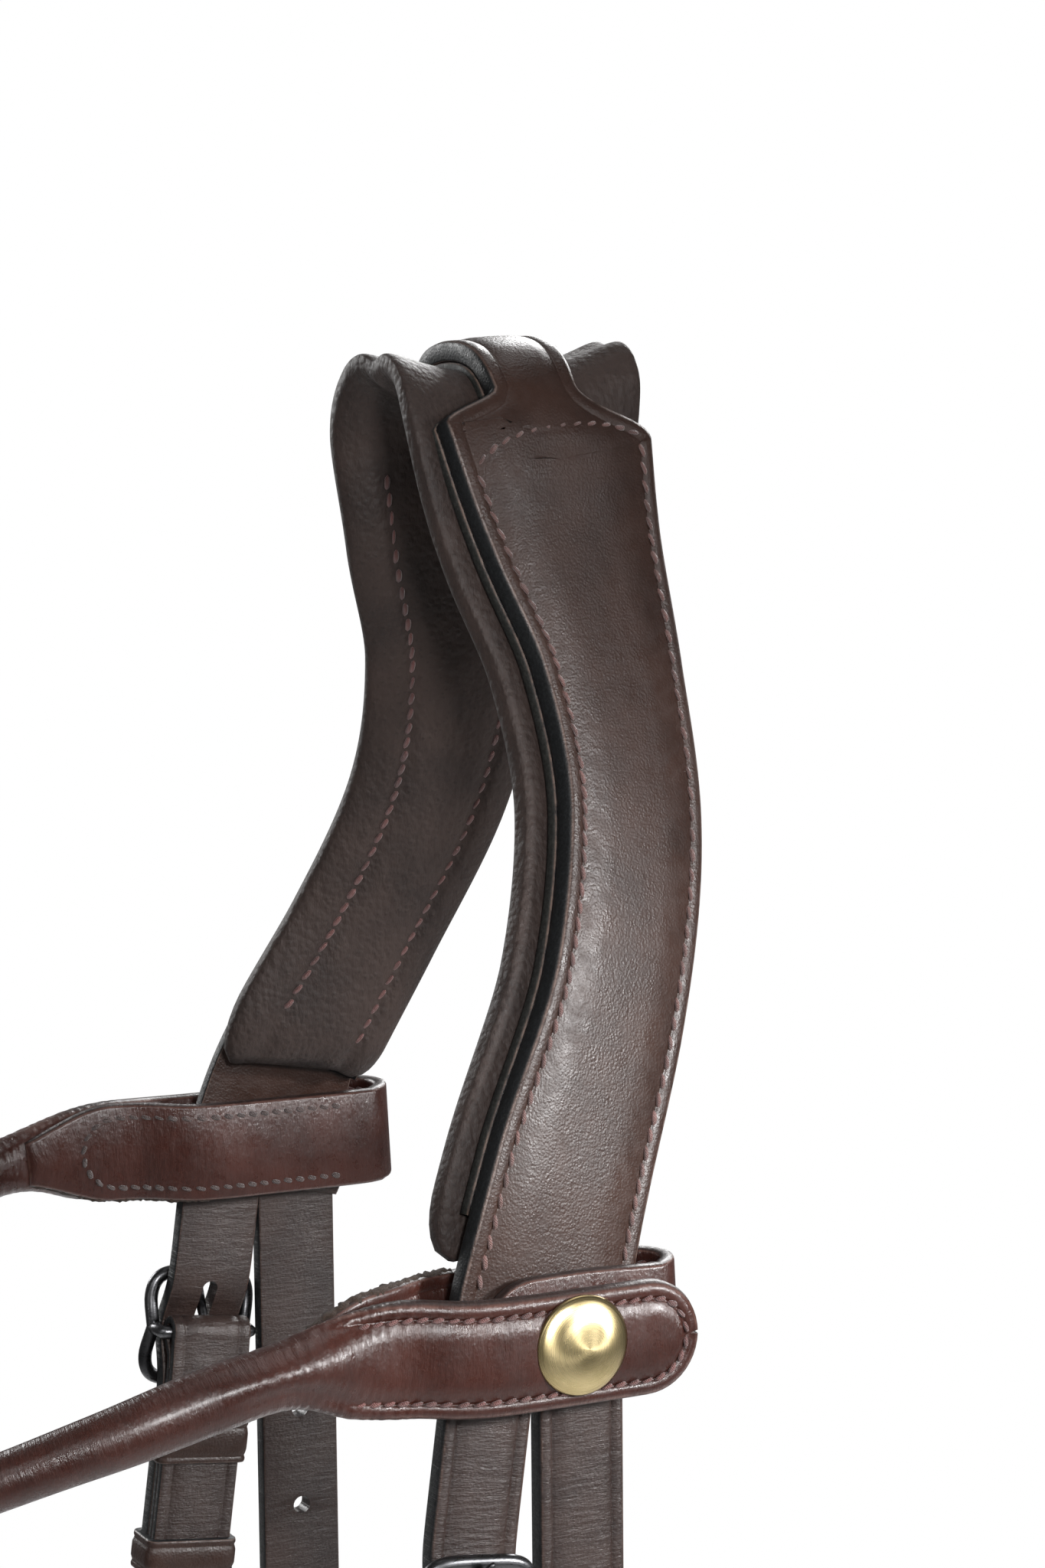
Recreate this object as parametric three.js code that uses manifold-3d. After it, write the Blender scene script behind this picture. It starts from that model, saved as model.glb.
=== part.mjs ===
// A leather show headcollar: padded headpiece with split tails, rolled browband on press studs,
// buckled cheekpieces and throatlash, and a noseband and chin strap that turn on round cheek rings.
// Millimetres. +X is the horse's left (near) side, +Y its back, +Z up. The origin is under the poll.
import * as THREE from "three";
import { mergeVertices } from "three/addons/utils/BufferGeometryUtils.js";
import Module from "manifold-3d";

const wasm = await Module();
wasm.setup();

// ---- Driving dimensions ----
const GAP = 0.3; // between pieces that touch
const LEATHER = 3.6; // headpiece leather
const BACKING = 1.8; // firm leather that carries the pad
const PAD = 6.5; // foam pad with its soft cover
const PAD_SKIN = 1.2;
const PAD_FRONT = 3.5; // how far the pad shows past the leather's front edge
const PAD_REAR = 1.5;
const STRAP = 15.5; // width of tails, cheekpieces and throatlash
const DOUBLED = 3.2; // thickness of a doubled and stitched strap

// Middle of the headpiece leather's outer face from the poll down the near side:
// x, y, z, width across the wing, and twist in degrees of its front edge outwards.
const HEADPIECE = [
  [0, 0, 12.5, 41, 0],
  [11, 0, 9.5, 42, -3],
  [17.5, 0.5, -1, 43, -9],
  [21, 2.5, -20, 39.5, -14],
  [27, 5, -42, 33.5, -17],
  [36, 3, -67, 31, -18],
  [46.5, -7.5, -94, 30, -17],
  [54, -22, -120, 32, -11],
  [57, -30.3, -140, 32.2, -4],
  [57.5, -32.3, -147, 30.4, 0],
];
const NECK = 19; // width of the strap over the poll
const FRONT_SHOULDER = [15, 22]; // arc lengths between which the neck opens into the wing
const REAR_SHOULDER = [18, 28];
const PAD_END = { near: 19.4, off: 31 }; // the pad stops this far above the split
const FACE_X = 57.5; // outer face of the tails
const SPLIT_Z = -147;
const TAIL_SPREAD = 15.6; // between the two tails' middles at the split
const FRONT_LEAN = 0.19; // forward run of each strap for each unit down
const REAR_LEAN = 0.05;
const FRONT_TAIL_TIP = -262;
const REAR_TAIL_TIP = -312;

// Browband; it hangs a little lower on the near side
const LOOP_Z = { near: -145, off: -136 };
const BAND_HEIGHT = 19;
const ROLL_RADIUS = 4.4;
const CORE_RADIUS = 2.2;
const ROOT_Y = -61; // where the band parts into flap and tab
const BROWBAND = [
  [59.5, ROOT_Y - GAP, -143.5],
  [60, -76, -141.5],
  [59, -90, -143.5],
  [56, -108, -147.5],
  [45, -136, -155.5],
  [24, -157, -161.5],
  [0, -163, -163],
  [-24, -157, -158.5],
  [-45, -136, -150],
  [-56, -108, -139.5],
  [-59, -90, -135],
  [-60, -76, -133.5],
  [-59.5, ROOT_Y - GAP, -134.5],
];
const TAB = 2.4;
const FLAP = 3.2;
const FLAP_TIP_Y = -7;
const TAB_TIP_Y = -43.5;
const STUD_Y = -29;
const CAP_RADIUS = 8.2;

// Buckles, all for the same strap width
const BAR_RADIUS = 1.3;
const WIRE = 2.4; // thickness of the frame
const BUCKLE_HEIGHT = 23;
const BUMP = 3.8; // the strap's rise over the centre bar
const BUMP_LENGTH = 6.5;
const TONGUE_RISE = THREE.MathUtils.degToRad(40);
const TONGUE_RADIUS = 1.2;
const CHEEK_BAR_Z = { near: -188.5, off: -169.5 }; // the off side is buckled one hole higher
const THROAT_BAR_Z = -250;
const HOLE_PITCH = 19;

// Noseband and rings
const RING_RADIUS = 17;
const RING_WIRE = 2.5;
const RING_Z = -402;
const NOSE_DROOP = THREE.MathUtils.degToRad(12);
const CHIN_DROOP = THREE.MathUtils.degToRad(40);
const NOSE_WIDTH = 26;
const NOSE_LEATHER = 3.6;
const NOSE_LINING = 3.2;
const RING_X = FACE_X - LEATHER - GAP - DOUBLED / 2;
// Middle of the noseband's inner face, from the near ring forward: x, and distance in front of the rings
const NOSEBAND = [[RING_X, 22], [54, 42], [55, 66], [48, 98], [28, 121], [0, 128]];
const CHIN = [[RING_X, 22], [RING_X, 62], [RING_X, 84], [45, 106], [26, 121], [0, 126]];
const CHIN_BAR = 66; // centre bar's distance behind the ring centres

const LEATHER_LOOK = { color: 0x38241f, roughness: 0.5, metalness: 0 };
const SOFT_LOOK = { color: 0x3a2f2c, roughness: 0.8, metalness: 0 };
const EDGE_LOOK = { color: 0x1b1716, roughness: 0.6, metalness: 0 };
const BAND_LOOK = { color: 0x45241d, roughness: 0.35, metalness: 0 };
const FOAM_LOOK = { color: 0x8c8778, roughness: 0.95, metalness: 0 };
const BRASS_LOOK = { color: 0xb09a5c, roughness: 0.3, metalness: 1 };
const STEEL_LOOK = { color: 0x8e9090, roughness: 0.35, metalness: 1 };

// ---- Solids ----
function solid(geometry) {
  const bare = geometry.clone();
  bare.deleteAttribute("normal");
  bare.deleteAttribute("uv");
  const merged = mergeVertices(bare, 1e-4);
  return new wasm.Manifold(
    new wasm.Mesh({
      numProp: 3,
      vertProperties: merged.attributes.position.array,
      triVerts: new Uint32Array(merged.index.array),
    }),
  );
}

function geometryOf(manifold) {
  const made = manifold.getMesh();
  const geometry = new THREE.BufferGeometry();
  geometry.setAttribute("position", new THREE.BufferAttribute(made.vertProperties, 3));
  geometry.setIndex(new THREE.BufferAttribute(made.triVerts, 1));
  return geometry;
}

const join = (...parts) => geometryOf(parts.map(solid).reduce((a, b) => a.add(b)));
const cut = (body, ...tools) => geometryOf(tools.map(solid).reduce((a, b) => a.subtract(b), solid(body)));

function mirrored(geometry) {
  const flipped = geometry.clone().applyMatrix4(new THREE.Matrix4().makeScale(-1, 1, 1));
  const index = flipped.index.array;
  for (let i = 0; i < index.length; i += 3) {
    [index[i + 1], index[i + 2]] = [index[i + 2], index[i + 1]];
  }
  return flipped;
}

function bend(geometry, place) {
  const at = geometry.attributes.position;
  for (let i = 0; i < at.count; i++) {
    const point = place(at.getX(i), at.getY(i), at.getZ(i));
    at.setXYZ(i, point.x, point.y, point.z);
  }
  return geometry;
}

function box(low, high) {
  const size = high.map((value, i) => value - low[i]);
  const middle = high.map((value, i) => (value + low[i]) / 2);
  return new THREE.BoxGeometry(...size).translate(...middle);
}

// A round bar along x, y or z, from one end to the other
function bar(radius, axis, from, to, at = [0, 0], sides = 12) {
  const made = new THREE.CylinderGeometry(radius, radius, to - from, sides);
  made.translate(0, (from + to) / 2, 0);
  if (axis === "x") return made.rotateZ(-Math.PI / 2).translate(0, at[0], at[1]);
  if (axis === "z") return made.rotateX(Math.PI / 2).translate(at[0], at[1], 0);
  return made.translate(at[0], 0, at[1]);
}

// ---- Lines that straps follow: along (T), across (W) and out of the face (N) ----
const smooth = (value, [low, high]) => THREE.MathUtils.smoothstep(value, low, high);

function frame(centre, along, towards, twist = 0) {
  const T = along.clone().normalize();
  const W = towards.clone().addScaledVector(T, -towards.dot(T)).normalize();
  const N = T.clone().cross(W);
  const turned = W.clone().multiplyScalar(Math.cos(twist)).addScaledVector(N, Math.sin(twist));
  return { C: centre, W: turned, N: T.clone().cross(turned) };
}

function curveLine(points, towards) {
  const curve = new THREE.CatmullRomCurve3(points.map((p) => new THREE.Vector3(...p)), false, "catmullrom");
  curve.arcLengthDivisions = 600;
  const length = curve.getLength();
  const across = new THREE.Vector3(...towards);
  const at = (s) => {
    const u = THREE.MathUtils.clamp(s / length, 0, 1);
    const T = curve.getTangentAt(u);
    const C = curve.getPointAt(u).addScaledVector(T, s - u * length);
    return frame(C, T, across);
  };
  return { length, at };
}

const mirrorPoints = (half) => [
  ...half,
  ...half.slice(0, -1).reverse().map(([x, ...rest]) => [-x, ...rest]),
];

// The whole headpiece, with s = 0 over the poll and s < 0 on the off side
function headpieceLine() {
  const off = HEADPIECE.slice(1).reverse().map(([x, ...rest]) => [-x, ...rest]);
  const all = [...off, ...HEADPIECE];
  const pick = (f) => new THREE.CatmullRomCurve3(all.map(f), false, "catmullrom");
  const middle = pick(([x, y, z]) => new THREE.Vector3(x, y, z));
  const shape = pick(([, , , width, twist]) => new THREE.Vector3(width, twist, 0));
  middle.arcLengthDivisions = 1200;
  const half = middle.getLength() / 2;
  const share = (s) => THREE.MathUtils.clamp(0.5 + s / (2 * half), 0, 1);
  const shapeAt = (s) => shape.getPoint(middle.getUtoTmapping(share(s)));
  const at = (s) => {
    const twist = THREE.MathUtils.degToRad(shapeAt(s).y);
    return frame(middle.getPointAt(share(s)), middle.getTangentAt(share(s)), new THREE.Vector3(0, 1, 0), twist);
  };
  return { half, at, width: (s) => shapeAt(s).x };
}

// A strap: a box whose length follows a line. front and rear are its half-widths, and top is how far
// its outer face stands above the line.
function ribbon(line, { from, to, steps, across = 2, front, rear = front, top = () => 0, thickness }) {
  return bend(new THREE.BoxGeometry(1, 1, 1, across, 1, steps), (x, y, z) => {
    const s = THREE.MathUtils.lerp(from, to, z + 0.5);
    const { C, W, N } = line.at(s);
    const v = THREE.MathUtils.lerp(-front(s), rear(s), x + 0.5);
    return C.clone().addScaledVector(W, v).addScaledVector(N, top(s) + (y - 0.5) * thickness);
  });
}

// A rounded bar whose section follows a line: edges are v low and high, n low and high, and square is
// 1 for an ellipse and towards 0 for a box.
function loft(line, { from, to, steps, around, section }) {
  return bend(new THREE.CylinderGeometry(1, 1, 1, around, steps), (x, y, z) => {
    const s = THREE.MathUtils.lerp(from, to, y + 0.5);
    const { C, W, N } = line.at(s);
    const { v, n, square } = section(s);
    const swell = (c) => (Math.sign(c) * Math.abs(c) ** square + 1) / 2;
    return C.clone()
      .addScaledVector(W, THREE.MathUtils.lerp(...v, Math.abs(x) < 1e-9 ? 0.5 : swell(x)))
      .addScaledVector(N, THREE.MathUtils.lerp(...n, Math.abs(z) < 1e-9 ? 0.5 : swell(-z)));
  });
}

// ---- Headpiece ----
const head = headpieceLine();
const splitS = head.half;
const padFrom = PAD_END.off - splitS;
const padTo = splitS - PAD_END.near;
const always = (value) => () => value;
const halfWidth = (shoulder) => (s) =>
  THREE.MathUtils.lerp(NECK / 2, head.width(s) / 2, smooth(Math.abs(s), shoulder));
const frontEdge = halfWidth(FRONT_SHOULDER);
const rearEdge = halfWidth(REAR_SHOULDER);
const bump = (distance) => BUMP * Math.exp(-((distance / BUMP_LENGTH) ** 2));

// A tail's middle line down the near side, as a local group: z runs up the strap, x out of its inner face
function strapSeat(lean, z) {
  const seat = new THREE.Group();
  const startY = HEADPIECE.at(-1)[1] + (lean === FRONT_LEAN ? -TAIL_SPREAD : TAIL_SPREAD) / 2;
  seat.position.set(FACE_X - LEATHER, startY + lean * (z - SPLIT_Z), z);
  seat.rotation.x = -Math.atan(lean);
  seat.updateMatrix();
  return seat;
}

function tongueSlot() {
  const long = bar(1.6, "x", -1, LEATHER + BUMP + 1, [0, 2.4], 8);
  return join(long, bar(1.6, "x", -1, LEATHER + BUMP + 1, [0, 8], 8), box([-1, -1.6, 2.4], [8.1, 1.6, 8]));
}

// A tail in its buckle's seat, rising over the centre bar, with its tongue slot, punched holes and point
function tail(lean, barZ, tipZ) {
  const seat = strapSeat(lean, barZ);
  const slope = Math.hypot(1, lean);
  const up = (SPLIT_Z - barZ + 4) * slope;
  const down = (barZ - tipZ) * slope;
  const line = curveLine([[0, 0, up], [0, 0, -down]], [0, 1, 0]);
  const point = (s) => Math.max(2, Math.min(STRAP / 2, (up + down - s) * 0.9 + 2));
  const strap = ribbon(line, {
    from: 0,
    to: up + down,
    steps: Math.round((up + down) / 4.2),
    across: 1,
    front: point,
    top: (s) => LEATHER + bump(s - up),
    thickness: LEATHER,
  });
  const holes = [];
  for (let z = 5 - HOLE_PITCH; z > 14 - down; z -= HOLE_PITCH) {
    holes.push(bar(2, "x", -1, LEATHER + BUMP, [0, z], 8));
  }
  return cut(strap, tongueSlot(), ...holes).applyMatrix4(seat.matrix);
}

function headpieceLeather() {
  const wings = ribbon(head, {
    from: -splitS,
    to: splitS,
    steps: 70,
    across: 3,
    front: frontEdge,
    rear: rearEdge,
    thickness: LEATHER,
  });
  const near = [tail(FRONT_LEAN, CHEEK_BAR_Z.near, FRONT_TAIL_TIP), tail(REAR_LEAN, THROAT_BAR_Z, REAR_TAIL_TIP)];
  const off = [tail(FRONT_LEAN, CHEEK_BAR_Z.off, FRONT_TAIL_TIP), tail(REAR_LEAN, THROAT_BAR_Z, REAR_TAIL_TIP)];
  return join(wings, ...near, ...off.map(mirrored));
}

function headpieceBacking() {
  return ribbon(head, {
    from: padFrom,
    to: padTo,
    steps: 48,
    front: frontEdge,
    rear: rearEdge,
    top: always(-LEATHER - GAP),
    thickness: BACKING,
  });
}

const padTop = -LEATHER - BACKING - 2 * GAP;
const insetEdge = (edge, inset) => (s) => edge(s) - inset;

// The hollow that holds the foam, open towards the backing
function padHollow(inset, short, top, bottom) {
  return ribbon(head, {
    from: padFrom + short,
    to: padTo - short,
    steps: 44,
    across: 1,
    front: insetEdge(frontEdge, inset),
    rear: insetEdge(rearEdge, inset),
    top: always(top),
    thickness: top - bottom,
  });
}

function padCover() {
  const reach = (s) => 1 - 0.35 * smooth(12 - Math.min(padTo - s, s - padFrom), [0, 12]);
  const outer = loft(head, {
    from: padFrom,
    to: padTo,
    steps: 44,
    around: 10,
    section: (s) => ({
      v: [-head.width(s) / 2 - PAD_FRONT * reach(s), head.width(s) / 2 + PAD_REAR * reach(s)],
      n: [padTop - PAD, padTop],
      square: 0.6,
    }),
  });
  return cut(outer, padHollow(2, 6, padTop + 1, padTop - PAD + PAD_SKIN));
}

const padFoam = () => padHollow(2.8, 6.8, padTop - GAP, padTop - PAD + PAD_SKIN + 0.8);

// ---- Browband ----
const band = curveLine([...BROWBAND].reverse(), [0, 0, 1]);

function browbandSection(s) {
  const fromRoot = Math.min(s, band.length - s);
  const rolled = smooth(fromRoot, [12, 32]);
  const height = THREE.MathUtils.lerp(BAND_HEIGHT / 2, ROLL_RADIUS, rolled);
  const depth = THREE.MathUtils.lerp(2.9, ROLL_RADIUS, rolled);
  return { v: [-height, height], n: [-depth, depth], square: THREE.MathUtils.lerp(0.35, 1, rolled) };
}

// The channel for the core, which narrows to a small hole at each end
function browbandChannel(radius, from) {
  return loft(band, {
    from,
    to: band.length - from,
    steps: 30,
    around: 6,
    section: (s) => {
      const r = THREE.MathUtils.lerp(1.2, radius, smooth(Math.min(s, band.length - s), [20, 30]));
      return { v: [-r, r], n: [-r, r], square: 1 };
    },
  });
}

function browbandLeather() {
  const outside = loft(band, { from: 0, to: band.length, steps: 44, around: 10, section: browbandSection });
  return cut(outside, browbandChannel(CORE_RADIUS + GAP, -0.5));
}

const browbandCore = () => browbandChannel(CORE_RADIUS, 32);

// Half-height of a flap or tab that ends in a half circle
const roundedEnd = (length, radius) => (s) => {
  const past = Math.max(0, s - (length - radius)) / radius;
  return Math.max(1.2, radius * Math.sqrt(Math.max(0, 1 - past * past)));
};

const TAB_TURN_Y = { near: -12.5, off: -9.5 };
const FLAP_X = FACE_X + 1 + TAB + 1.4 + FLAP; // outer face of the closed flap
const TAB_OUT_X = FACE_X + 1 + TAB; // outer face of the tab's outer run
const TAB_IN_X = { near: FACE_X - LEATHER - 3.4, off: FACE_X - LEATHER - 5.8 }; // face of its inner run

function browbandFlap(side) {
  const z = LOOP_Z[side];
  const line = curveLine(
    [[61.5, ROOT_Y + 0.8, z], [62.8, ROOT_Y + 6, z], [64.9, ROOT_Y + 12, z], [FLAP_X, ROOT_Y + 17, z],
      [FLAP_X, STUD_Y, z], [FLAP_X, FLAP_TIP_Y, z]],
    [0, 0, 1],
  );
  const strap = ribbon(line, {
    from: 0,
    to: line.length,
    steps: 30,
    front: roundedEnd(line.length, BAND_HEIGHT / 2),
    thickness: FLAP,
    across: 1,
  });
  const recess = bar(6, "x", FLAP_X - FLAP - 1, FLAP_X - 1, [STUD_Y, z]);
  return cut(strap, recess, bar(2.1, "x", FLAP_X - 2, FLAP_X + 1, [STUD_Y, z], 8));
}

function browbandTab(side) {
  const z = LOOP_Z[side];
  const middleX = (TAB_OUT_X + TAB_IN_X[side] - TAB) / 2;
  const radius = (TAB_OUT_X - TAB_IN_X[side]) / 2;
  const turnY = TAB_TURN_Y[side];
  const turn = [];
  for (let i = 0; i <= 6; i++) {
    const a = -Math.PI / 2 + (i * Math.PI) / 6;
    turn.push([middleX + radius * Math.sin(a), turnY + radius * Math.cos(a), z]);
  }
  const inner = middleX - radius;
  const line = curveLine(
    [[56.5, ROOT_Y + 0.8, z], [54.2, ROOT_Y + 6, z], [inner, ROOT_Y + 14, z], [inner, -30, z],
      ...turn, [middleX + radius, -25, z], [middleX + radius, TAB_TIP_Y, z]],
    [0, 0, 1],
  );
  const strap = ribbon(line, {
    from: 0,
    to: line.length,
    steps: 44,
    across: 1,
    front: roundedEnd(line.length, BAND_HEIGHT / 2 - 0.5),
    top: always(TAB / 2),
    thickness: TAB,
  });
  const recess = bar(5.4, "x", TAB_OUT_X - TAB - 0.5, TAB_OUT_X - TAB + 1, [STUD_Y, z]);
  return cut(strap, recess, bar(2, "x", TAB_OUT_X - 2, TAB_OUT_X + 1, [STUD_Y, z], 8));
}

// A turned brass piece: radii at places along x, revolved about the press stud's axis at z = 0
function turned(profile, sides = 16) {
  const points = profile.map(([radius, x]) => new THREE.Vector2(radius, x));
  return new THREE.LatheGeometry(points, sides).rotateZ(-Math.PI / 2).translate(0, STUD_Y, 0);
}

function studCap() {
  const dome = [[0, 3], [2.5, 2.85], [5, 2.35], [7.2, 1.5], [CAP_RADIUS - 0.3, 0.7], [CAP_RADIUS, 0.3], [CAP_RADIUS - 0.2, 0]];
  const rim = FLAP_X + GAP;
  const face = dome.map(([radius, rise]) => [radius, rim + rise]).reverse();
  return turned([[0, FLAP_X - 1], [1.7, FLAP_X - 1], [1.7, rim], ...face], 24);
}

function studSocket() {
  const back = FLAP_X - FLAP + 0.2;
  return turned([[3.2, back], [5.6, back], [5.6, back + 1.7], [3.2, back + 1.7], [3.2, back]]);
}

function studPost() {
  const base = TAB_OUT_X + GAP;
  return turned([[0, base], [4.6, base], [4.6, base + 0.6], [2.3, base + 0.8], [2.8, base + 1.8], [2.2, base + 2.6], [0, base + 2.8]]);
}

function studRivet() {
  const back = TAB_OUT_X - TAB + 0.1;
  return turned([[0, back], [5, back], [5, back + 0.6], [1.7, back + 0.7], [1.7, TAB_OUT_X - 0.1], [0, TAB_OUT_X - 0.1]]);
}

// ---- Buckles, made in a seat: z up the strap, y across it, x out of the strap's inner face ----
const BUCKLE_HALF = STRAP / 2 + 0.5 + WIRE / 2; // middle of the frame's side bars
const FRAME_X = LEATHER + GAP + WIRE / 2 + 0.6; // middle of the frame's plane

// A ring bent to a rounded rectangle in the YZ plane
function roundedRing(halfWidth, halfHeight, wire, round, sides = 6, around = 24) {
  const ring = new THREE.TorusGeometry(2, 1, sides, around);
  return bend(ring, (x, y, z) => {
    const angle = Math.atan2(y, x);
    const out = Math.hypot(x, y) - 2;
    const c = Math.cos(angle);
    const s = Math.sin(angle);
    const power = (value) => Math.sign(value) * Math.abs(value) ** round;
    const facing = (value) => Math.sign(value) * Math.abs(value) ** (2 - round);
    const across = new THREE.Vector2(facing(c) / halfWidth, facing(s) / halfHeight).normalize();
    return new THREE.Vector3(
      (z * wire) / 2,
      halfWidth * power(c) + (across.x * out * wire) / 2,
      halfHeight * power(s) + (across.y * out * wire) / 2,
    );
  });
}

function buckleFrame() {
  const ring = roundedRing(BUCKLE_HALF, BUCKLE_HEIGHT / 2 - WIRE / 2, WIRE, 0.45).translate(FRAME_X, 0, 0);
  const lug = (side) => {
    const edge = [side * (BUCKLE_HALF - WIRE / 2), side * (BUCKLE_HALF + WIRE / 2)].sort((a, b) => a - b);
    return box([-BAR_RADIUS, edge[0], -2.2], [FRAME_X + 0.6, edge[1], 2.2]);
  };
  return join(ring, lug(1), lug(-1), bar(BAR_RADIUS, "y", -BUCKLE_HALF, BUCKLE_HALF));
}

function buckleTongue() {
  const loop = cut(bar(2.9, "y", -1.4, 1.4), bar(BAR_RADIUS + GAP, "y", -2, 2));
  const shaft = new THREE.CylinderGeometry(0.8, TONGUE_RADIUS, 14, 8).translate(0, 9, 0);
  shaft.rotateX(Math.PI / 2).rotateY(TONGUE_RISE);
  return join(loop, shaft);
}

// The doubled end of a strap round a buckle's centre bar, with the slot that lets the tongue turn
function foldedEnd(strap) {
  const eye = bar(BAR_RADIUS + GAP + 1.6, "y", -STRAP / 2, STRAP / 2);
  const hole = bar(BAR_RADIUS + GAP, "y", -STRAP, STRAP);
  return cut(join(strap, eye), hole, box([-4, -1.8, -3.5], [4, 1.8, 5]));
}

const doubledBox = (from, to) => box([-GAP - DOUBLED, -STRAP / 2, from], [-GAP, STRAP / 2, to]);

function keeperBand(middle, height) {
  const inner = { x: [-GAP - DOUBLED - GAP, LEATHER + 0.5], y: STRAP / 2 + 0.5 };
  const skin = 1.8;
  const outside = box(
    [inner.x[0] - skin, -inner.y - skin, middle - height / 2],
    [inner.x[1] + skin, inner.y + skin, middle + height / 2],
  );
  return cut(outside, box([inner.x[0], -inner.y, middle - height], [inner.x[1], inner.y, middle + height]));
}

// ---- Rings and the straps round them ----
// A ring of eight-sided bar whose flat sides face along x
function wireRing(radius, wire, around = 32) {
  const profile = [];
  for (let i = 0; i <= 8; i++) {
    const a = ((i + 0.5) * Math.PI) / 4;
    profile.push(new THREE.Vector2(radius + wire * Math.cos(a), wire * Math.sin(a)));
  }
  return new THREE.LatheGeometry(profile, around).rotateZ(-Math.PI / 2);
}

const ringAt = (x) => wireRing(RING_RADIUS, RING_WIRE).translate(x, 0, 0);
const ringRoom = (x) => wireRing(RING_RADIUS, RING_WIRE + 0.5).translate(x, 0, 0);

// A strap end round a ring whose centre is the origin; the strap leaves along +y
function ringEye(x, halfHeight) {
  return box([x - 5, RING_RADIUS - 5, -halfHeight], [x + 5, RING_RADIUS + 6.5, halfHeight]);
}

const toPoints = (outline, direction) => outline.map(([x, distance]) => [x, distance * direction, 0]);

function nosebandLeather() {
  const line = curveLine(mirrorPoints(toPoints(NOSEBAND, -1)).reverse(), [0, 0, 1]);
  const half = (s) => THREE.MathUtils.lerp(9, NOSE_WIDTH / 2, smooth(Math.min(s, line.length - s), [8, 60]));
  const strap = ribbon(line, { from: 0, to: line.length, steps: 40, across: 1, front: half, top: always(NOSE_LEATHER), thickness: NOSE_LEATHER });
  const eye = ringEye(RING_X, 8).rotateZ(Math.PI).translate(2 * RING_X, 0, 0);
  return cut(join(strap, eye, eye.clone().translate(-2 * RING_X, 0, 0)), ringRoom(RING_X), ringRoom(-RING_X));
}

function nosebandLining() {
  const line = curveLine(mirrorPoints(toPoints(NOSEBAND, -1)).reverse(), [0, 0, 1]);
  return ribbon(line, {
    from: 34,
    to: line.length - 34,
    steps: 32,
    across: 1,
    front: always(NOSE_WIDTH / 2 - 3),
    top: always(-GAP),
    thickness: NOSE_LINING,
  });
}

// The long chin strap, from its point on the near side round to the off ring
function chinStrap() {
  const back = toPoints(CHIN, 1).slice(3);
  const off = toPoints(CHIN, 1).slice(0, -1).reverse().map(([x, y]) => [-x, y, 0]);
  const x = RING_X + DOUBLED / 2 + GAP + LEATHER / 2;
  const near = [[x, 30, 0], [x, 48, 0], [x, CHIN_BAR, 0], [x - 0.9, 82, 0]];
  const line = curveLine([...near, ...back, ...off], [0, 0, 1]);
  const barS = CHIN_BAR - 30;
  const point = (s) => Math.max(2, Math.min(STRAP / 2, s * 0.9 + 2));
  const strap = ribbon(line, {
    from: 0,
    to: line.length,
    steps: 60,
    across: 1,
    front: point,
    top: (s) => LEATHER / 2 + bump(s - barS),
    thickness: LEATHER,
  });
  const eye = ringEye(RING_X, 8).translate(-2 * RING_X, 0, 0);
  const seat = chinSeat();
  return cut(join(strap, eye), ringRoom(-RING_X), tongueSlot().applyMatrix4(seat.matrix));
}

// The chin buckle's seat: its z runs from the bar back towards the long strap
function chinSeat() {
  const seat = new THREE.Group();
  seat.position.set(RING_X + DOUBLED / 2 + GAP, CHIN_BAR, 0);
  seat.rotation.x = -Math.PI / 2;
  seat.updateMatrix();
  return seat;
}

// The short billet between the near ring and the chin buckle
function chinBillet() {
  const seat = chinSeat();
  const folded = foldedEnd(doubledBox(-CHIN_BAR + RING_RADIUS + 6, 0)).applyMatrix4(seat.matrix);
  return cut(join(folded, ringEye(RING_X, 8)), ringRoom(RING_X));
}

// ---- Lead ring ----
const CHIN_BACK = CHIN.at(-1)[1];
const LEAD_RADIUS = 15;
const LEAD_WIRE = 2.2;
const LEAD_EYE_Z = -16;

// A leather loop round the middle of the chin strap, with an eye under it for the lead ring
function leadRingLoop() {
  const half = LEATHER / 2 + 2 * GAP;
  const skin = 1.8;
  const round = box([-5, CHIN_BACK - half - skin, LEAD_EYE_Z], [5, CHIN_BACK + half + skin, STRAP / 2 + GAP + skin]);
  const eye = bar(5.6, "x", -5, 5, [CHIN_BACK, LEAD_EYE_Z], 16);
  const strapRoom = box([-9, CHIN_BACK - half, -STRAP / 2 - GAP], [9, CHIN_BACK + half, STRAP / 2 + GAP]);
  return cut(join(round, eye), strapRoom, bar(3.8, "x", -9, 9, [CHIN_BACK, LEAD_EYE_Z], 16));
}

const leadRing = () => wireRing(LEAD_RADIUS, LEAD_WIRE).rotateZ(Math.PI / 2).translate(0, 0, -LEAD_RADIUS);

// ---- Throatlash: a U that hangs between two buckle chapes, in the plane of the rear tails ----
const CHAPE = 66;
const THROAT_LAP = 58; // where the strap bends, inside the chape and below its buckle's bar
const THROAT_X = FACE_X - LEATHER - 3 * GAP - 1.5 * DOUBLED;
const THROAT = [[THROAT_X, STRAP / 2 - THROAT_LAP], [THROAT_X, -67], [46.8, -82], [39, -106], [23, -127], [0, -134]];

function throatStrap() {
  const line = curveLine(mirrorPoints(THROAT.map(([x, z]) => [x, 0, z])).reverse(), [0, 1, 0]);
  const end = roundedEnd(line.length, STRAP / 2);
  return ribbon(line, {
    from: 0,
    to: line.length,
    steps: 52,
    across: 1,
    front: (s) => Math.min(end(s), end(line.length - s)),
    top: always(DOUBLED / 2),
    thickness: DOUBLED,
  });
}

// ---- Assembly ----
const collar = new THREE.Group();

function add(parent, name, geometry, look) {
  const mesh = new THREE.Mesh(geometry, new THREE.MeshStandardMaterial(look));
  mesh.name = name;
  parent.add(mesh);
}

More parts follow.
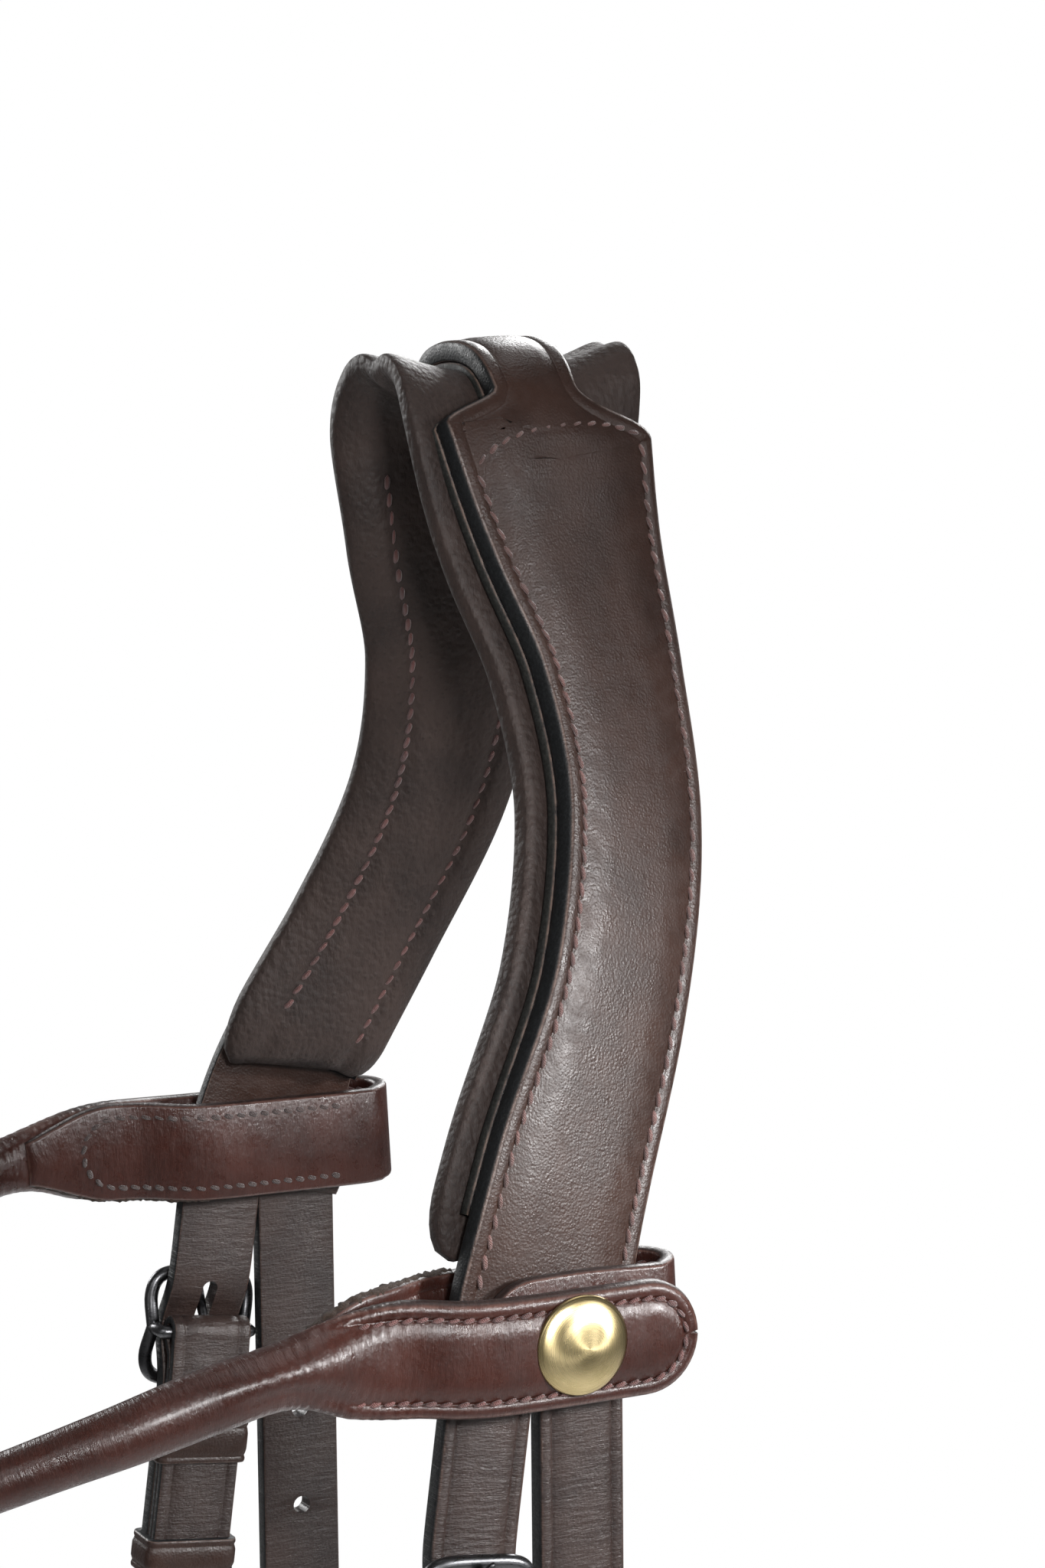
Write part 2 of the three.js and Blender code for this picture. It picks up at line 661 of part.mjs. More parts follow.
function addGroup(parent, position, turn) {
  const group = new THREE.Group();
  group.position.set(...position);
  group.rotation.x = turn;
  parent.add(group);
  return group;
}

function addBuckle(seat, label, sided = (geometry) => geometry) {
  add(seat, `${label}_buckle`, sided(buckleFrame()), STEEL_LOOK);
  add(seat, `${label}_buckle_tongue`, sided(buckleTongue()), STEEL_LOOK);
  add(seat, `${label}_keeper`, sided(keeperBand(-20, 8)), LEATHER_LOOK);
}

add(collar, "headpiece_leather", headpieceLeather(), LEATHER_LOOK);
add(collar, "headpiece_backing", headpieceBacking(), EDGE_LOOK);
add(collar, "headpiece_pad_cover", padCover(), SOFT_LOOK);
add(collar, "headpiece_pad_foam", padFoam(), FOAM_LOOK);
add(collar, "browband_leather", browbandLeather(), BAND_LOOK);
add(collar, "browband_core", browbandCore(), FOAM_LOOK);

for (const side of ["near", "off"]) {
  const sign = side === "near" ? 1 : -1;
  const sided = side === "near" ? (geometry) => geometry : mirrored;
  add(collar, `browband_flap_${side}`, sided(browbandFlap(side)), BAND_LOOK);
  add(collar, `browband_tab_${side}`, sided(browbandTab(side)), BAND_LOOK);
  const stud = addGroup(collar, [0, 0, LOOP_Z[side]], 0);
  add(stud, `press_stud_cap_${side}`, sided(studCap()), BRASS_LOOK);
  add(stud, `press_stud_socket_${side}`, sided(studSocket()), BRASS_LOOK);
  add(stud, `press_stud_post_${side}`, sided(studPost()), BRASS_LOOK);
  add(stud, `press_stud_rivet_${side}`, sided(studRivet()), BRASS_LOOK);

  const cheek = strapSeat(FRONT_LEAN, CHEEK_BAR_Z[side]);
  cheek.position.x *= sign;
  collar.add(cheek);
  addBuckle(cheek, `cheek_${side}`, sided);
  add(cheek, `cheek_runner_${side}`, sided(keeperBand(-42, 7)), LEATHER_LOOK);
  const drop = (CHEEK_BAR_Z[side] - RING_Z) * Math.hypot(1, FRONT_LEAN);
  const eye = ringEye(-GAP - DOUBLED / 2, STRAP / 2).rotateX(Math.PI / 2).translate(0, 0, -drop);
  const piece = foldedEnd(join(doubledBox(RING_RADIUS + 4 - drop, 0), eye));
  const room = ringRoom(-GAP - DOUBLED / 2).translate(0, 0, -drop);
  add(cheek, `cheekpiece_${side}`, sided(cut(piece, room)), LEATHER_LOOK);
  add(cheek, `cheek_ring_${side}`, sided(ringAt(-GAP - DOUBLED / 2).translate(0, 0, -drop)), STEEL_LOOK);

  const throat = strapSeat(REAR_LEAN, THROAT_BAR_Z);
  throat.position.x *= sign;
  collar.add(throat);
  addBuckle(throat, `throat_${side}`, sided);
  add(throat, `throat_chape_${side}`, sided(foldedEnd(doubledBox(-CHAPE, 0))), LEATHER_LOOK);
}

const throatSeat = strapSeat(REAR_LEAN, THROAT_BAR_Z);
const throatlash = addGroup(collar, [0, throatSeat.position.y, THROAT_BAR_Z], throatSeat.rotation.x);
add(throatlash, "throatlash_strap", throatStrap(), LEATHER_LOOK);

// The noseband and chin strap turn about the line through both ring centres
const ringY = strapSeat(FRONT_LEAN, RING_Z).position.y;
const nose = addGroup(collar, [0, ringY, RING_Z], NOSE_DROOP);
add(nose, "noseband_leather", nosebandLeather(), LEATHER_LOOK);
add(nose, "noseband_lining", nosebandLining(), SOFT_LOOK);

const chin = addGroup(collar, [0, ringY, RING_Z], -CHIN_DROOP);
add(chin, "chin_strap", chinStrap(), LEATHER_LOOK);
add(chin, "chin_billet", chinBillet(), LEATHER_LOOK);
add(chin, "lead_ring_loop", leadRingLoop(), LEATHER_LOOK);
const chinBuckleSeat = chinSeat();
chin.add(chinBuckleSeat);
addBuckle(chinBuckleSeat, "chin");
const hang = addGroup(chin, [0, CHIN_BACK, LEAD_EYE_Z], CHIN_DROOP);
add(hang, "lead_ring", leadRing(), STEEL_LOOK);

export default collar;
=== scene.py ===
"""The looks of the leather headcollar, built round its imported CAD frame.

Lengths here are in millimetres and turn into metres where a mesh is made. Straps follow lines: s runs
along a strap, v across it and n out of its face.
"""

import math

import bpy
import numpy as np
from mathutils import Matrix, Vector
from mathutils.kdtree import KDTree


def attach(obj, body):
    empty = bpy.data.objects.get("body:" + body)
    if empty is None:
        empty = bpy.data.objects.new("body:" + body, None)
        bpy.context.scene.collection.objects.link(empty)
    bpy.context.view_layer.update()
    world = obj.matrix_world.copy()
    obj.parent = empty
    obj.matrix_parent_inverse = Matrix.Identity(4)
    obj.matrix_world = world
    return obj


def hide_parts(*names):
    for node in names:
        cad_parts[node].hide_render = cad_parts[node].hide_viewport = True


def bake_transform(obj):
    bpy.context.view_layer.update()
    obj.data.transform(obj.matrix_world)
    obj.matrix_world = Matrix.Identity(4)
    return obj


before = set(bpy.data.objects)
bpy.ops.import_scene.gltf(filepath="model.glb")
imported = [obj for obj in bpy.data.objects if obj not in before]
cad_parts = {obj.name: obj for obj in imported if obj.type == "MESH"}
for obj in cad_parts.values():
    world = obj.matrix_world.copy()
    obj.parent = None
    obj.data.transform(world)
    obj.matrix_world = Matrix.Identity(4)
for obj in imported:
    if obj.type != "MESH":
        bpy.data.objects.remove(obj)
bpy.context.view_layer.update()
rng = np.random.default_rng(7)

MM = 0.001
GAP = 0.3
LEATHER = 3.6
BACKING = 1.8
PAD = 6.5
STRAP = 15.5
DOUBLED = 3.2
NECK = 19
FACE_X = 57.5
SPLIT = (-32.3, -147)
SPREAD = 15.6
LEAN = {"front": 0.19, "rear": 0.05}
BAR_Z = {"near": -188.5, "off": -169.5}
THROAT_Z = -250
RING_Z = -402
RING_RADIUS = 17
RING_WIRE = 2.5
SIDES = {"near": 1, "off": -1}
HEADPIECE = [
    (0, 0, 12.5, 41, 0),
    (11, 0, 9.5, 42, -3),
    (17.5, 0.5, -1, 43, -9),
    (21, 2.5, -20, 39.5, -14),
    (27, 5, -42, 33.5, -17),
    (36, 3, -67, 31, -18),
    (46.5, -7.5, -94, 30, -17),
    (54, -22, -120, 32, -11),
    (57, -30.3, -140, 32.2, -4),
    (57.5, -32.3, -147, 30.4, 0),
]
BROWBAND_PLAN = [(0, -163), (24, -157), (45, -136), (56, -108), (59, -90), (60, -76)]
BROWBAND_Z = {
    "near": (-163, -161.5, -155.5, -147.5, -143.2, -141),
    "off": (-163, -158.5, -150, -139.5, -134.8, -132.8),
}
LOOP_Z = {"near": -145, "off": -136}
STUD_Y = -29
WAYS = {"front": -1, "rear": 1}
MIDDLE_PULL = 3.8
WING_SEAM = 2.9
PAD_SEAM = 4.5
LEATHER_SLIM = 5.8
PAD_SLIM = 6.8
TIP_PITCH = 2.45
FLAP_SEAM = 2.7


# ---- Lines ----
def smooth(x, low, high):
    t = np.clip((np.asarray(x, float) - low) / (high - low), 0, 1)
    return t * t * (3 - 2 * t)


def catmull(points, each=40):
    """Points on the smooth curve through the given ones; extra columns go along."""
    p = np.array(points, float)
    p = np.vstack([2 * p[0] - p[1], p, 2 * p[-1] - p[-2]])
    t = np.linspace(0, 1, each, endpoint=False)[:, None]
    rows = []
    for i in range(1, len(p) - 2):
        a, b = (p[i + 1] - p[i - 1]) / 2, (p[i + 2] - p[i]) / 2
        rows.append(p[i] + a * t + (3 * (p[i + 1] - p[i]) - 2 * a - b) * t**2 + (2 * (p[i] - p[i + 1]) + a + b) * t**3)
    return np.vstack([*rows, p[-2:-1]])


class Line:
    """A curve with a direction across it. towards is that direction, or its nearest at each point."""

    def __init__(self, points, towards=(0, 0, 1), curved=True):
        x = catmull(points) if curved else np.array(points, float)
        step = np.linalg.norm(np.diff(x[:, :3], axis=0), axis=1)
        x = x[np.concatenate([[True], step > 1e-6])]
        step = step[step > 1e-6]
        self.s = np.concatenate([[0], np.cumsum(step)])
        self.x = x
        self.t = np.gradient(x[:, :3], self.s, axis=0)
        self.length = self.s[-1]
        self.towards = np.array(towards, float)

    def _table(self, table, s):
        return np.stack([np.interp(s, self.s, c) for c in table.T], 1)

    def at(self, s):
        s = np.atleast_1d(np.asarray(s, float))
        inside = np.clip(s, 0, self.length)
        x = self._table(self.x, inside)
        t = self._table(self.t, inside)
        t /= np.linalg.norm(t, axis=1)[:, None]
        c = x[:, :3] + t * (s - inside)[:, None]
        w = self.towards - (t @ self.towards)[:, None] * t
        w /= np.linalg.norm(w, axis=1)[:, None]
        n = np.cross(t, w)
        if x.shape[1] > 4:
            a = np.radians(x[:, 4])[:, None]
            w = w * np.cos(a) + n * np.sin(a)
            n = np.cross(t, w)
        return c, w, n, x[:, 3:]

    def point(self, s, v, n):
        c, w, out, _ = self.at(s)
        return c + w * np.reshape(v, (-1, 1)) + out * np.reshape(n, (-1, 1))


def flip(points, sign):
    return [(sign * p[0], *p[1:]) for p in points]


def closed_line(points, towards, step, place=np.array):
    """A closed line in straight steps of about step; place puts its points in the row frame."""
    points, dense = np.array(points, float), []
    for a, b in zip(points, np.roll(points, -1, 0)):
        steps = max(1, int(np.linalg.norm(b - a) / step))
        dense += [a + (b - a) * k / steps for k in range(steps)]
    dense = place(dense)
    line = Line(np.vstack([dense, dense[:1]]), towards, curved=False)
    line.t[0] = line.t[-1] = dense[1] - dense[-1]
    return line


def half_ring(end, radius, count=20):
    """(s, v) points of a half circle that closes a seam before s = end, from v = -radius to radius."""
    turn = np.linspace(-math.pi / 2, math.pi / 2, count)
    return [(end + radius * math.cos(a), radius * math.sin(a)) for a in turn]


# ---- Meshes ----
def link(obj):
    bpy.context.scene.collection.objects.link(obj)
    return obj


def make(name, verts, faces, material, body, attributes=None, replaces=()):
    mesh = bpy.data.meshes.new(name)
    mesh.from_pydata((np.asarray(verts) * MM).tolist(), [], faces)
    rest = mesh.attributes.new("rest", "FLOAT_VECTOR", "POINT")
    rest.data.foreach_set("vector", np.asarray(verts, np.float32).ravel())
    for key, values in (attributes or {}).items():
        made = mesh.attributes.new(key, "FLOAT_VECTOR", "POINT")
        made.data.foreach_set("vector", np.asarray(values, np.float32).ravel())
    mesh.materials.append(material)
    mesh.polygons.foreach_set("use_smooth", [True] * len(mesh.polygons))
    mesh.validate()
    obj = link(bpy.data.objects.new(name, mesh))
    if body:
        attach(obj, body)
    if replaces:
        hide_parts(*replaces)
    return obj


def tube(rings, closed=False):
    """Faces of a skin over rings, an array of shape rings, points, 3."""
    count, around = rings.shape[:2]
    faces = []
    for i in range(count if closed else count - 1):
        a, b = i * around, ((i + 1) % count) * around
        for j in range(around):
            k = (j + 1) % around
            faces.append((a + j, a + k, b + k, b + j))
    if not closed:
        faces.append(tuple(range(around))[::-1])
        faces.append(tuple((count - 1) * around + j for j in range(around)))
    return faces


def edge_run(thick, bevel, crease, groove, bottom_bevel):
    """A strap's front edge in two runs, over the top and underneath: (inset, depth, edge share)."""
    run = [(0, thick * 0.55, 1), (0, bevel, 1), (bevel * 0.28, bevel * 0.3, 0.75), (bevel, 0.02, 0.1)]
    for c in crease:
        for away, deep in ((-0.55, 0), (-0.2, 0.7), (0, 1), (0.2, 0.7), (0.55, 0)):
            run.append((c + away, groove * deep, 0))
    under = [(bottom_bevel, thick, 0.1), (bottom_bevel * 0.28, thick - bottom_bevel * 0.3, 0.75)]
    under += [(0, thick - bottom_bevel, 1)]
    return run, under


def section(thick, bevel=0.7, crease=(2.6,), groove=0.28, crown=0.2, bottom_bevel=0.5):
    """A strap's closed section: (0 front to 1 rear, inset, depth, edge share)."""
    run, under = edge_run(thick, bevel, crease, groove, bottom_bevel)
    front = [(0, a, b, e) for a, b, e in run]
    rear = [(1, -a, b, e) for a, b, e in run]
    middle = [(f, 0, -crown * (1 - (2 * f - 1) ** 2), 0) for f in (0.32, 0.5, 0.68)]
    low_rear = [(1, -a, b, e) for a, b, e in reversed(under)]
    low_front = [(0, a, b, e) for a, b, e in under]
    return front + middle + rear[::-1] + low_rear + [(0.5, 0, thick, 0)] + low_front


def outline(half, s, inset):
    """How far an inset moves a strap's point across and back along the strap, square to its outline."""
    slope = -np.gradient(half, s)
    share = 1 / np.hypot(1, slope)
    inset = np.minimum(inset, 0.85 * half / share)
    return inset * share, inset * share * slope


def strap(name, line, s, half, body, material, thick=DOUBLED, top=0.0, rear=None, shape=None, closed=False,
          warp=None, replaces=()):
    """A strap over the stations s.

    half and rear are its half-widths, top its outer face above the line. Rows away from the edges draw back
    by MIDDLE_PULL at a tip, so that the skin follows its outline.
    """
    s = np.asarray(s, float)
    front = half(s) if callable(half) else np.full(len(s), float(half))
    back = front if rear is None else rear(s)
    rise = top(s) if callable(top) else np.full(len(s), float(top))
    c, w, n, _ = line.at(s)
    shape = shape or section(thick)
    rings, marks = [], []
    t = np.cross(w, n)
    for f, a, b, e in shape:
        across, along = outline(front if f < 0.5 else back, s, abs(a) if f in (0, 1) else MIDDLE_PULL)
        v = -front + (front + back) * f + np.sign(a) * across
        rings.append(c + w * v[:, None] + n * (rise - b)[:, None] - t * along[:, None])
        marks.append(np.stack([s, v, np.full(len(s), e)], 1))
    rings = np.stack(rings, 1)
    marks = np.stack(marks, 1)
    if warp:
        rings = warp(rings)
    return make(name, rings.reshape(-1, 3), tube(rings, closed), material, body,
                {"strap": marks.reshape(-1, 3)}, replaces)


def stations(start, end, step=2.0):
    return np.linspace(start, end, max(2, int(round(abs(end - start) / step)) + 1))


def round_tip(end, radius, least=0.35):
    """Half-width that closes in a half circle at s = end."""

    def half(s):
        past = np.clip((np.asarray(s, float) - (end - radius)) / radius, 0, 1)
        return np.maximum(least, radius * np.sqrt(1 - past**2))

    return half


def pointed(to_tip):
    """Half-width of a strap that narrows to a blunt point."""
    return np.minimum(STRAP / 2, np.maximum(1.6, to_tip * 0.85 + 2.2))


def tip_stations(start, end, radius, step=2.0):
    """Stations that bunch up towards a rounded end."""
    a = np.linspace(0, math.pi / 2, 10)
    return np.concatenate([stations(start, end - radius, step)[:-1], end - radius + radius * np.sin(a)])


def stitches(name, line, path, body, material, top, pitch, long, wide=0.42, slant=18, side=1):
    """Thread along path, a run of (s, v) points on a strap's face. side -1 puts it on the inner face."""
    path = np.array(path, float)
    run = np.concatenate([[0], np.cumsum(np.linalg.norm(np.diff(path, axis=0), axis=1))])
    count = max(2, int(round(run[-1] / pitch)))
    at = (np.arange(count) + 0.5) * run[-1] / count
    s, v = (np.interp(at, run, path[:, i]) for i in (0, 1))
    ahead = np.stack([np.interp(at + 0.4, run, path[:, i]) - np.interp(at - 0.4, run, path[:, i]) for i in (0, 1)], 1)
    ahead /= np.maximum(np.linalg.norm(ahead, axis=1), 1e-9)[:, None]
    c, w, n, _ = line.at(s)
    t = np.cross(w, n)
    centre = c + w * v[:, None] + n * top
    along = t * ahead[:, :1] + w * ahead[:, 1:]
    across = np.cross(n, along)
    tilt = math.radians(slant)
    a = along * math.cos(tilt) + across * math.sin(tilt)
    b = across * math.cos(tilt) - along * math.sin(tilt)
    u = np.linspace(-1, 1, 7)
    round_ = np.sqrt(np.maximum(0, 1 - np.abs(u) ** 3))
    verts, faces = [], []
    for i in range(count):
        jitter = 1 + 0.12 * rng.normal(size=3)
        base = len(verts) * 7 * 6
        ring = []
        for uu, rr in zip(u, round_):
            for k in range(6):
                angle = math.tau * k / 6
                up = math.sin(angle) * rr * wide * jitter[0] * 0.9 - 0.14 * uu * uu * 1.6
                out = math.cos(angle) * rr * wide * jitter[1]
                ring.append(centre[i] + a[i] * uu * long / 2 + b[i] * out + n[i] * side * up)
        verts.append(ring)
        for r in range(6):
            for k in range(6):
                m = (k + 1) % 6
                quad = (base + r * 6 + k, base + r * 6 + m, base + (r + 1) * 6 + m, base + (r + 1) * 6 + k)
                faces.append(quad if side < 0 else quad[::-1])
    return make(name, np.array(verts).reshape(-1, 3), faces, material, body)


def sweep(path, radius, around=12, closed=False, flat=1.0, up=(0, 0, 1)):
    """Rings of a round bar along a polyline; flat squeezes it along up."""
    p = np.array(path, float)
    radius = np.broadcast_to(radius, len(p))
    if closed:
        t = np.roll(p, -1, 0) - np.roll(p, 1, 0)
    else:
        t = np.gradient(p, axis=0)
    t /= np.linalg.norm(t, axis=1)[:, None]
    up = np.array(up, float)
    b = up - (t @ up)[:, None] * t
    b /= np.linalg.norm(b, axis=1)[:, None]
    a = np.cross(t, b)
    angle = np.linspace(0, math.tau, around, endpoint=False)
    out = a[:, None, :] * np.cos(angle)[None, :, None] + b[:, None, :] * np.sin(angle)[None, :, None] * flat
    return p[:, None, :] + out * radius[:, None, None]


def join_rings(parts):
    """One vertex list and face list from several skins, each (rings, closed)."""
    verts, faces, base = [], [], 0
    for rings, closed in parts:
        faces += [tuple(base + i for i in f) for f in tube(rings, closed)]
        verts.append(rings.reshape(-1, 3))
        base += rings.shape[0] * rings.shape[1]
    return np.vstack(verts), faces


# ---- Materials ----
class Nodes:
    """A material's node tree; a value is put in a socket, a socket is linked to it."""

    def __init__(self, name):
        self.material = bpy.data.materials.new(name)
        self.material.use_nodes = True
        self.tree = self.material.node_tree
        self.shader = self.tree.nodes["Principled BSDF"]

    def add(self, kind, inputs=None, **settings):
        node = self.tree.nodes.new(kind)
        for key, value in settings.items():
            setattr(node, key, value)
        for key, value in (inputs or {}).items():
            self.put(node.inputs[key], value)
        return node

    def put(self, socket, value):
        if isinstance(value, bpy.types.NodeSocket):
            self.tree.links.new(value, socket)
        else:
            socket.default_value = value

    def set(self, **inputs):
        for key, value in inputs.items():
            self.put(self.shader.inputs[key.replace("_", " ")], value)

    def attribute(self, name):
        return self.add("ShaderNodeAttribute", attribute_name=name).outputs["Vector"]

    def part(self, vector, which):
        return self.add("ShaderNodeSeparateXYZ", {"Vector": vector}).outputs[which]

    def noise(self, vector, scale, detail=3.0, rough=0.55):
        made = self.add("ShaderNodeTexNoise", {"Vector": vector, "Scale": scale, "Detail": detail, "Roughness": rough})
        return made.outputs["Fac"]

    def cells(self, vector, scale, smoothness=0.6):
        made = self.add("ShaderNodeTexVoronoi", {"Vector": vector, "Scale": scale}, feature="SMOOTH_F1")
        made.inputs["Smoothness"].default_value = smoothness
        return made.outputs["Distance"]

    def span(self, value, low, high, to_low=0.0, to_high=1.0):
        made = self.add("ShaderNodeMapRange", {"Value": value, "From Min": low, "From Max": high})
        made.inputs["To Min"].default_value = to_low
        made.inputs["To Max"].default_value = to_high
        return made.outputs["Result"]

    def mix(self, factor, a, b):
        made = self.add("ShaderNodeMix", data_type="RGBA")
        for socket, value in ((made.inputs[0], factor), (made.inputs[6], a), (made.inputs[7], b)):
            if not isinstance(value, bpy.types.NodeSocket) and hasattr(value, "__len__"):
                value = (*value[:3], 1)
            self.put(socket, value)
        return made.outputs[2]

    def maths(self, how, a, b):
        return self.add("ShaderNodeMath", {0: a, 1: b}, operation=how).outputs[0]

    def stretch(self, vector, scale):
        made = self.add("ShaderNodeVectorMath", {0: vector, 1: scale}, operation="MULTIPLY")
        return made.outputs["Vector"]

    def bump(self, height, depth, before=None):
        made = self.add("ShaderNodeBump", {"Height": height, "Distance": depth, "Strength": 1.0})
        if before is not None:
            self.put(made.inputs["Normal"], before)
        return made.outputs["Normal"]


def leather(name, colour, shade, rough=0.4, grain=2.3, grain_depth=0.00005, wrinkle=0.00003, edge=(0.012, 0.012, 0.011),
            rim=(0.11, 0.075, 0.06), coat=0.0, spec=0.5):
    """Strap leather: pored grain, cross wrinkles, mottled colour and a painted edge with a worn rim."""
    n = Nodes(name)
    rest, mark = n.attribute("rest"), n.attribute("strap")
    share = n.part(mark, "Z")
    cloud = n.noise(rest, 0.09, 4)
    fine = n.noise(rest, 1.7, 4, 0.65)
    pores = n.cells(rest, grain)
    tint = n.mix(n.span(cloud, 0.35, 0.65), shade, colour)
    tint = n.mix(n.span(fine, 0.35, 0.75, 0.0, 0.35), tint, [c * 1.5 for c in colour])
    tint = n.mix(n.span(pores, 0.0, 0.25, 0.45, 0.0), tint, [c * 0.5 for c in shade])
    painted = n.mix(n.span(fine, 0.45, 0.7), edge, [c * 2.2 for c in edge])
    worn = n.mix(n.span(n.maths("MULTIPLY", n.span(share, 0.15, 0.5), n.noise(rest, 0.5, 3)), 0.25, 0.6), tint, rim)
    n.set(Base_Color=n.mix(n.span(share, 0.62, 0.85), worn, painted))
    gloss = n.span(n.noise(rest, 0.35, 4, 0.6), 0.3, 0.75, rough - 0.08, rough + 0.14)
    n.set(Roughness=n.maths("ADD", gloss, n.span(share, 0.6, 0.9, 0.0, 0.12)))
    n.set(Specular_IOR_Level=spec, Coat_Weight=coat, Coat_Roughness=0.22)
    normal = n.bump(pores, grain_depth)
    normal = n.bump(fine, 0.00003, normal)
    if wrinkle:
        lines = n.noise(n.stretch(mark, (0.85, 0.16, 0.0)), 1.0, 5, 0.7)
        normal = n.bump(lines, wrinkle * 2.4, normal)
    n.set(Normal=normal)
    return n.material


def soft_leather(name, colour, shade):
    """Thin padding leather: pebbled, matte and a little creased."""
    n = Nodes(name)
    rest = n.attribute("rest")
    pebble = n.cells(rest, 0.85, 0.4)
    fine = n.noise(rest, 2.4, 4, 0.65)
    crease = n.noise(n.stretch(rest, (0.5, 0.5, 0.16)), 1.0, 5, 0.65)
    tint = n.mix(n.span(n.noise(rest, 0.07, 4), 0.35, 0.65), shade, colour)
    tint = n.mix(n.span(pebble, 0.0, 0.3, 0.6, 0.0), tint, [c * 0.55 for c in shade])
    n.set(Base_Color=n.mix(n.span(fine, 0.45, 0.75, 0.0, 0.4), tint, [c * 1.6 for c in colour]))
    n.set(Roughness=n.span(fine, 0.3, 0.7, 0.5, 0.7), Sheen_Weight=0.03, Specular_IOR_Level=0.25)
    n.set(Normal=n.bump(crease, 0.00035, n.bump(fine, 0.00004, n.bump(pebble, 0.00018))))
    return n.material


def suede(name, colour):
    """Raw leather edge and flesh side."""
    n = Nodes(name)
    rest = n.attribute("rest")
    fuzz = n.noise(rest, 2.8, 6, 0.8)
    tint = n.mix(n.span(fuzz, 0.4, 0.65), [c * 0.55 for c in colour], [c * 1.35 for c in colour])
    n.set(Base_Color=tint, Roughness=0.92, Sheen_Weight=0.08, Specular_IOR_Level=0.15)
    n.set(Normal=n.bump(fuzz, 0.0004))
    return n.material


def thread(name, colour):
    n = Nodes(name)
    rest = n.attribute("rest")
    twist = n.add("ShaderNodeTexWave", {"Vector": rest, "Scale": 1.6, "Distortion": 2.0}, bands_direction="DIAGONAL")
    tint = n.mix(n.span(n.noise(rest, 0.12, 3), 0.35, 0.65), [c * 0.6 for c in colour], [c * 1.15 for c in colour])
    n.set(Base_Color=n.mix(n.span(twist.outputs["Fac"], 0.1, 0.9, 0.35, 0.0), tint, [c * 0.4 for c in colour]))
    n.set(Roughness=0.6, Sheen_Weight=0.3, Normal=n.bump(twist.outputs["Fac"], 0.00008))
    return n.material


def metal(name, colour, rough, tarnish):
    """Polished metal with fine scratches and a little tarnish."""
    n = Nodes(name)
    at = n.add("ShaderNodeTexCoord").outputs["Object"]
    cloud = n.noise(at, 160.0, 4)
    fine = n.noise(n.stretch(at, (900.0, 900.0, 5200.0)), 1.0, 3, 0.7)
    n.set(Base_Color=n.mix(n.span(cloud, 0.4, 0.7), colour, tarnish), Metallic=1.0)
    n.set(Roughness=n.span(fine, 0.3, 0.7, rough - 0.06, rough + 0.1))
    n.set(Normal=n.bump(fine, 0.000006))
    return n.material


def brushed_brass(name):
    """Spun brass: circular brushing about the object's own X axis."""
    n = Nodes(name)
    at = n.add("ShaderNodeTexCoord").outputs["Object"]
    radius = n.add("ShaderNodeVectorMath", {0: n.stretch(at, (0, 1, 1))}, operation="LENGTH").outputs["Value"]
    rings = n.noise(n.add("ShaderNodeCombineXYZ", {"X": n.maths("MULTIPLY", radius, 9000.0)}).outputs["Vector"], 1.0, 3)
    blot = n.noise(at, 260.0, 5, 0.6)
    tint = n.mix(n.span(blot, 0.4, 0.7), (0.62, 0.5, 0.27), (0.5, 0.4, 0.2))
    # Darker towards the rim: painted shade for the dimmer reflection on the dome's curved shoulder and rolled rim.
    rim = n.span(radius, 0.0066, 0.0082)
    n.set(Base_Color=n.mix(rim, tint, (0.36, 0.28, 0.14)), Metallic=1.0)
    n.set(Roughness=n.span(rings, 0.3, 0.7, 0.22, 0.36), Anisotropic=0.75)
    tangent = n.add("ShaderNodeTangent", direction_type="RADIAL", axis="X").outputs["Tangent"]
    n.set(Tangent=tangent, Normal=n.bump(rings, 0.000004))
    return n.material


BRIDLE = leather("bridle_leather", (0.026, 0.0125, 0.009), (0.016, 0.0078, 0.0058), edge=(0.005, 0.0055, 0.006),
                 rim=(0.09, 0.06, 0.05), spec=0.3)
TAIL = leather("tail_leather", (0.026, 0.016, 0.0135), (0.0145, 0.009, 0.008), rough=0.38, grain=1.8, wrinkle=0.00014,
               edge=(0.005, 0.0055, 0.006), rim=(0.05, 0.03, 0.024), spec=0.32)
FLAP_LEATHER = leather("flap_leather", (0.033, 0.0105, 0.0075), (0.019, 0.0068, 0.0052), 0.3, 1.4, 0.00004, 0.0001,
                       coat=0.1, spec=0.35, edge=(0.014, 0.008, 0.007), rim=(0.07, 0.035, 0.028))
EDGE = leather("edge_leather", (0.005, 0.0052, 0.006), (0.003, 0.0032, 0.004), 0.5, spec=0.18)
SOFT = soft_leather("padding_leather", (0.03, 0.0195, 0.0165), (0.017, 0.0112, 0.0098))
LINING = soft_leather("lining_leather", (0.026, 0.0175, 0.015), (0.016, 0.011, 0.01))
SUEDE = suede("raw_leather", (0.034, 0.02, 0.0135))
THREAD_TOP = thread("tan_thread", (0.09, 0.036, 0.03))
THREAD_RED = thread("red_thread", (0.085, 0.024, 0.02))
THREAD_DARK = thread("dark_thread", (0.035, 0.016, 0.013))
STEEL = metal("dark_steel", (0.1, 0.1, 0.105), 0.3, (0.05, 0.05, 0.053))
BRASS = metal("stud_brass", (0.55, 0.43, 0.2), 0.3, (0.38, 0.29, 0.14))
CAP = brushed_brass("spun_brass")

# ---- Headpiece ----
off_half = [(-p[0], *p[1:]) for p in HEADPIECE[:0:-1]]
head = Line(off_half + HEADPIECE, (0, 1, 0))
HALF = head.length / 2


class Middled:
    """The headpiece line with s = 0 over the poll."""

    def at(self, s):
        return head.at(np.asarray(s, float) + HALF)

    def width(self, s):
        return head.at(np.asarray(s, float) + HALF)[3][:, 0]


poll = Middled()


def wing_edge(neck, low, high):
    return lambda s: neck + (poll.width(s) / 2 - neck) * smooth(np.abs(s), low, high)


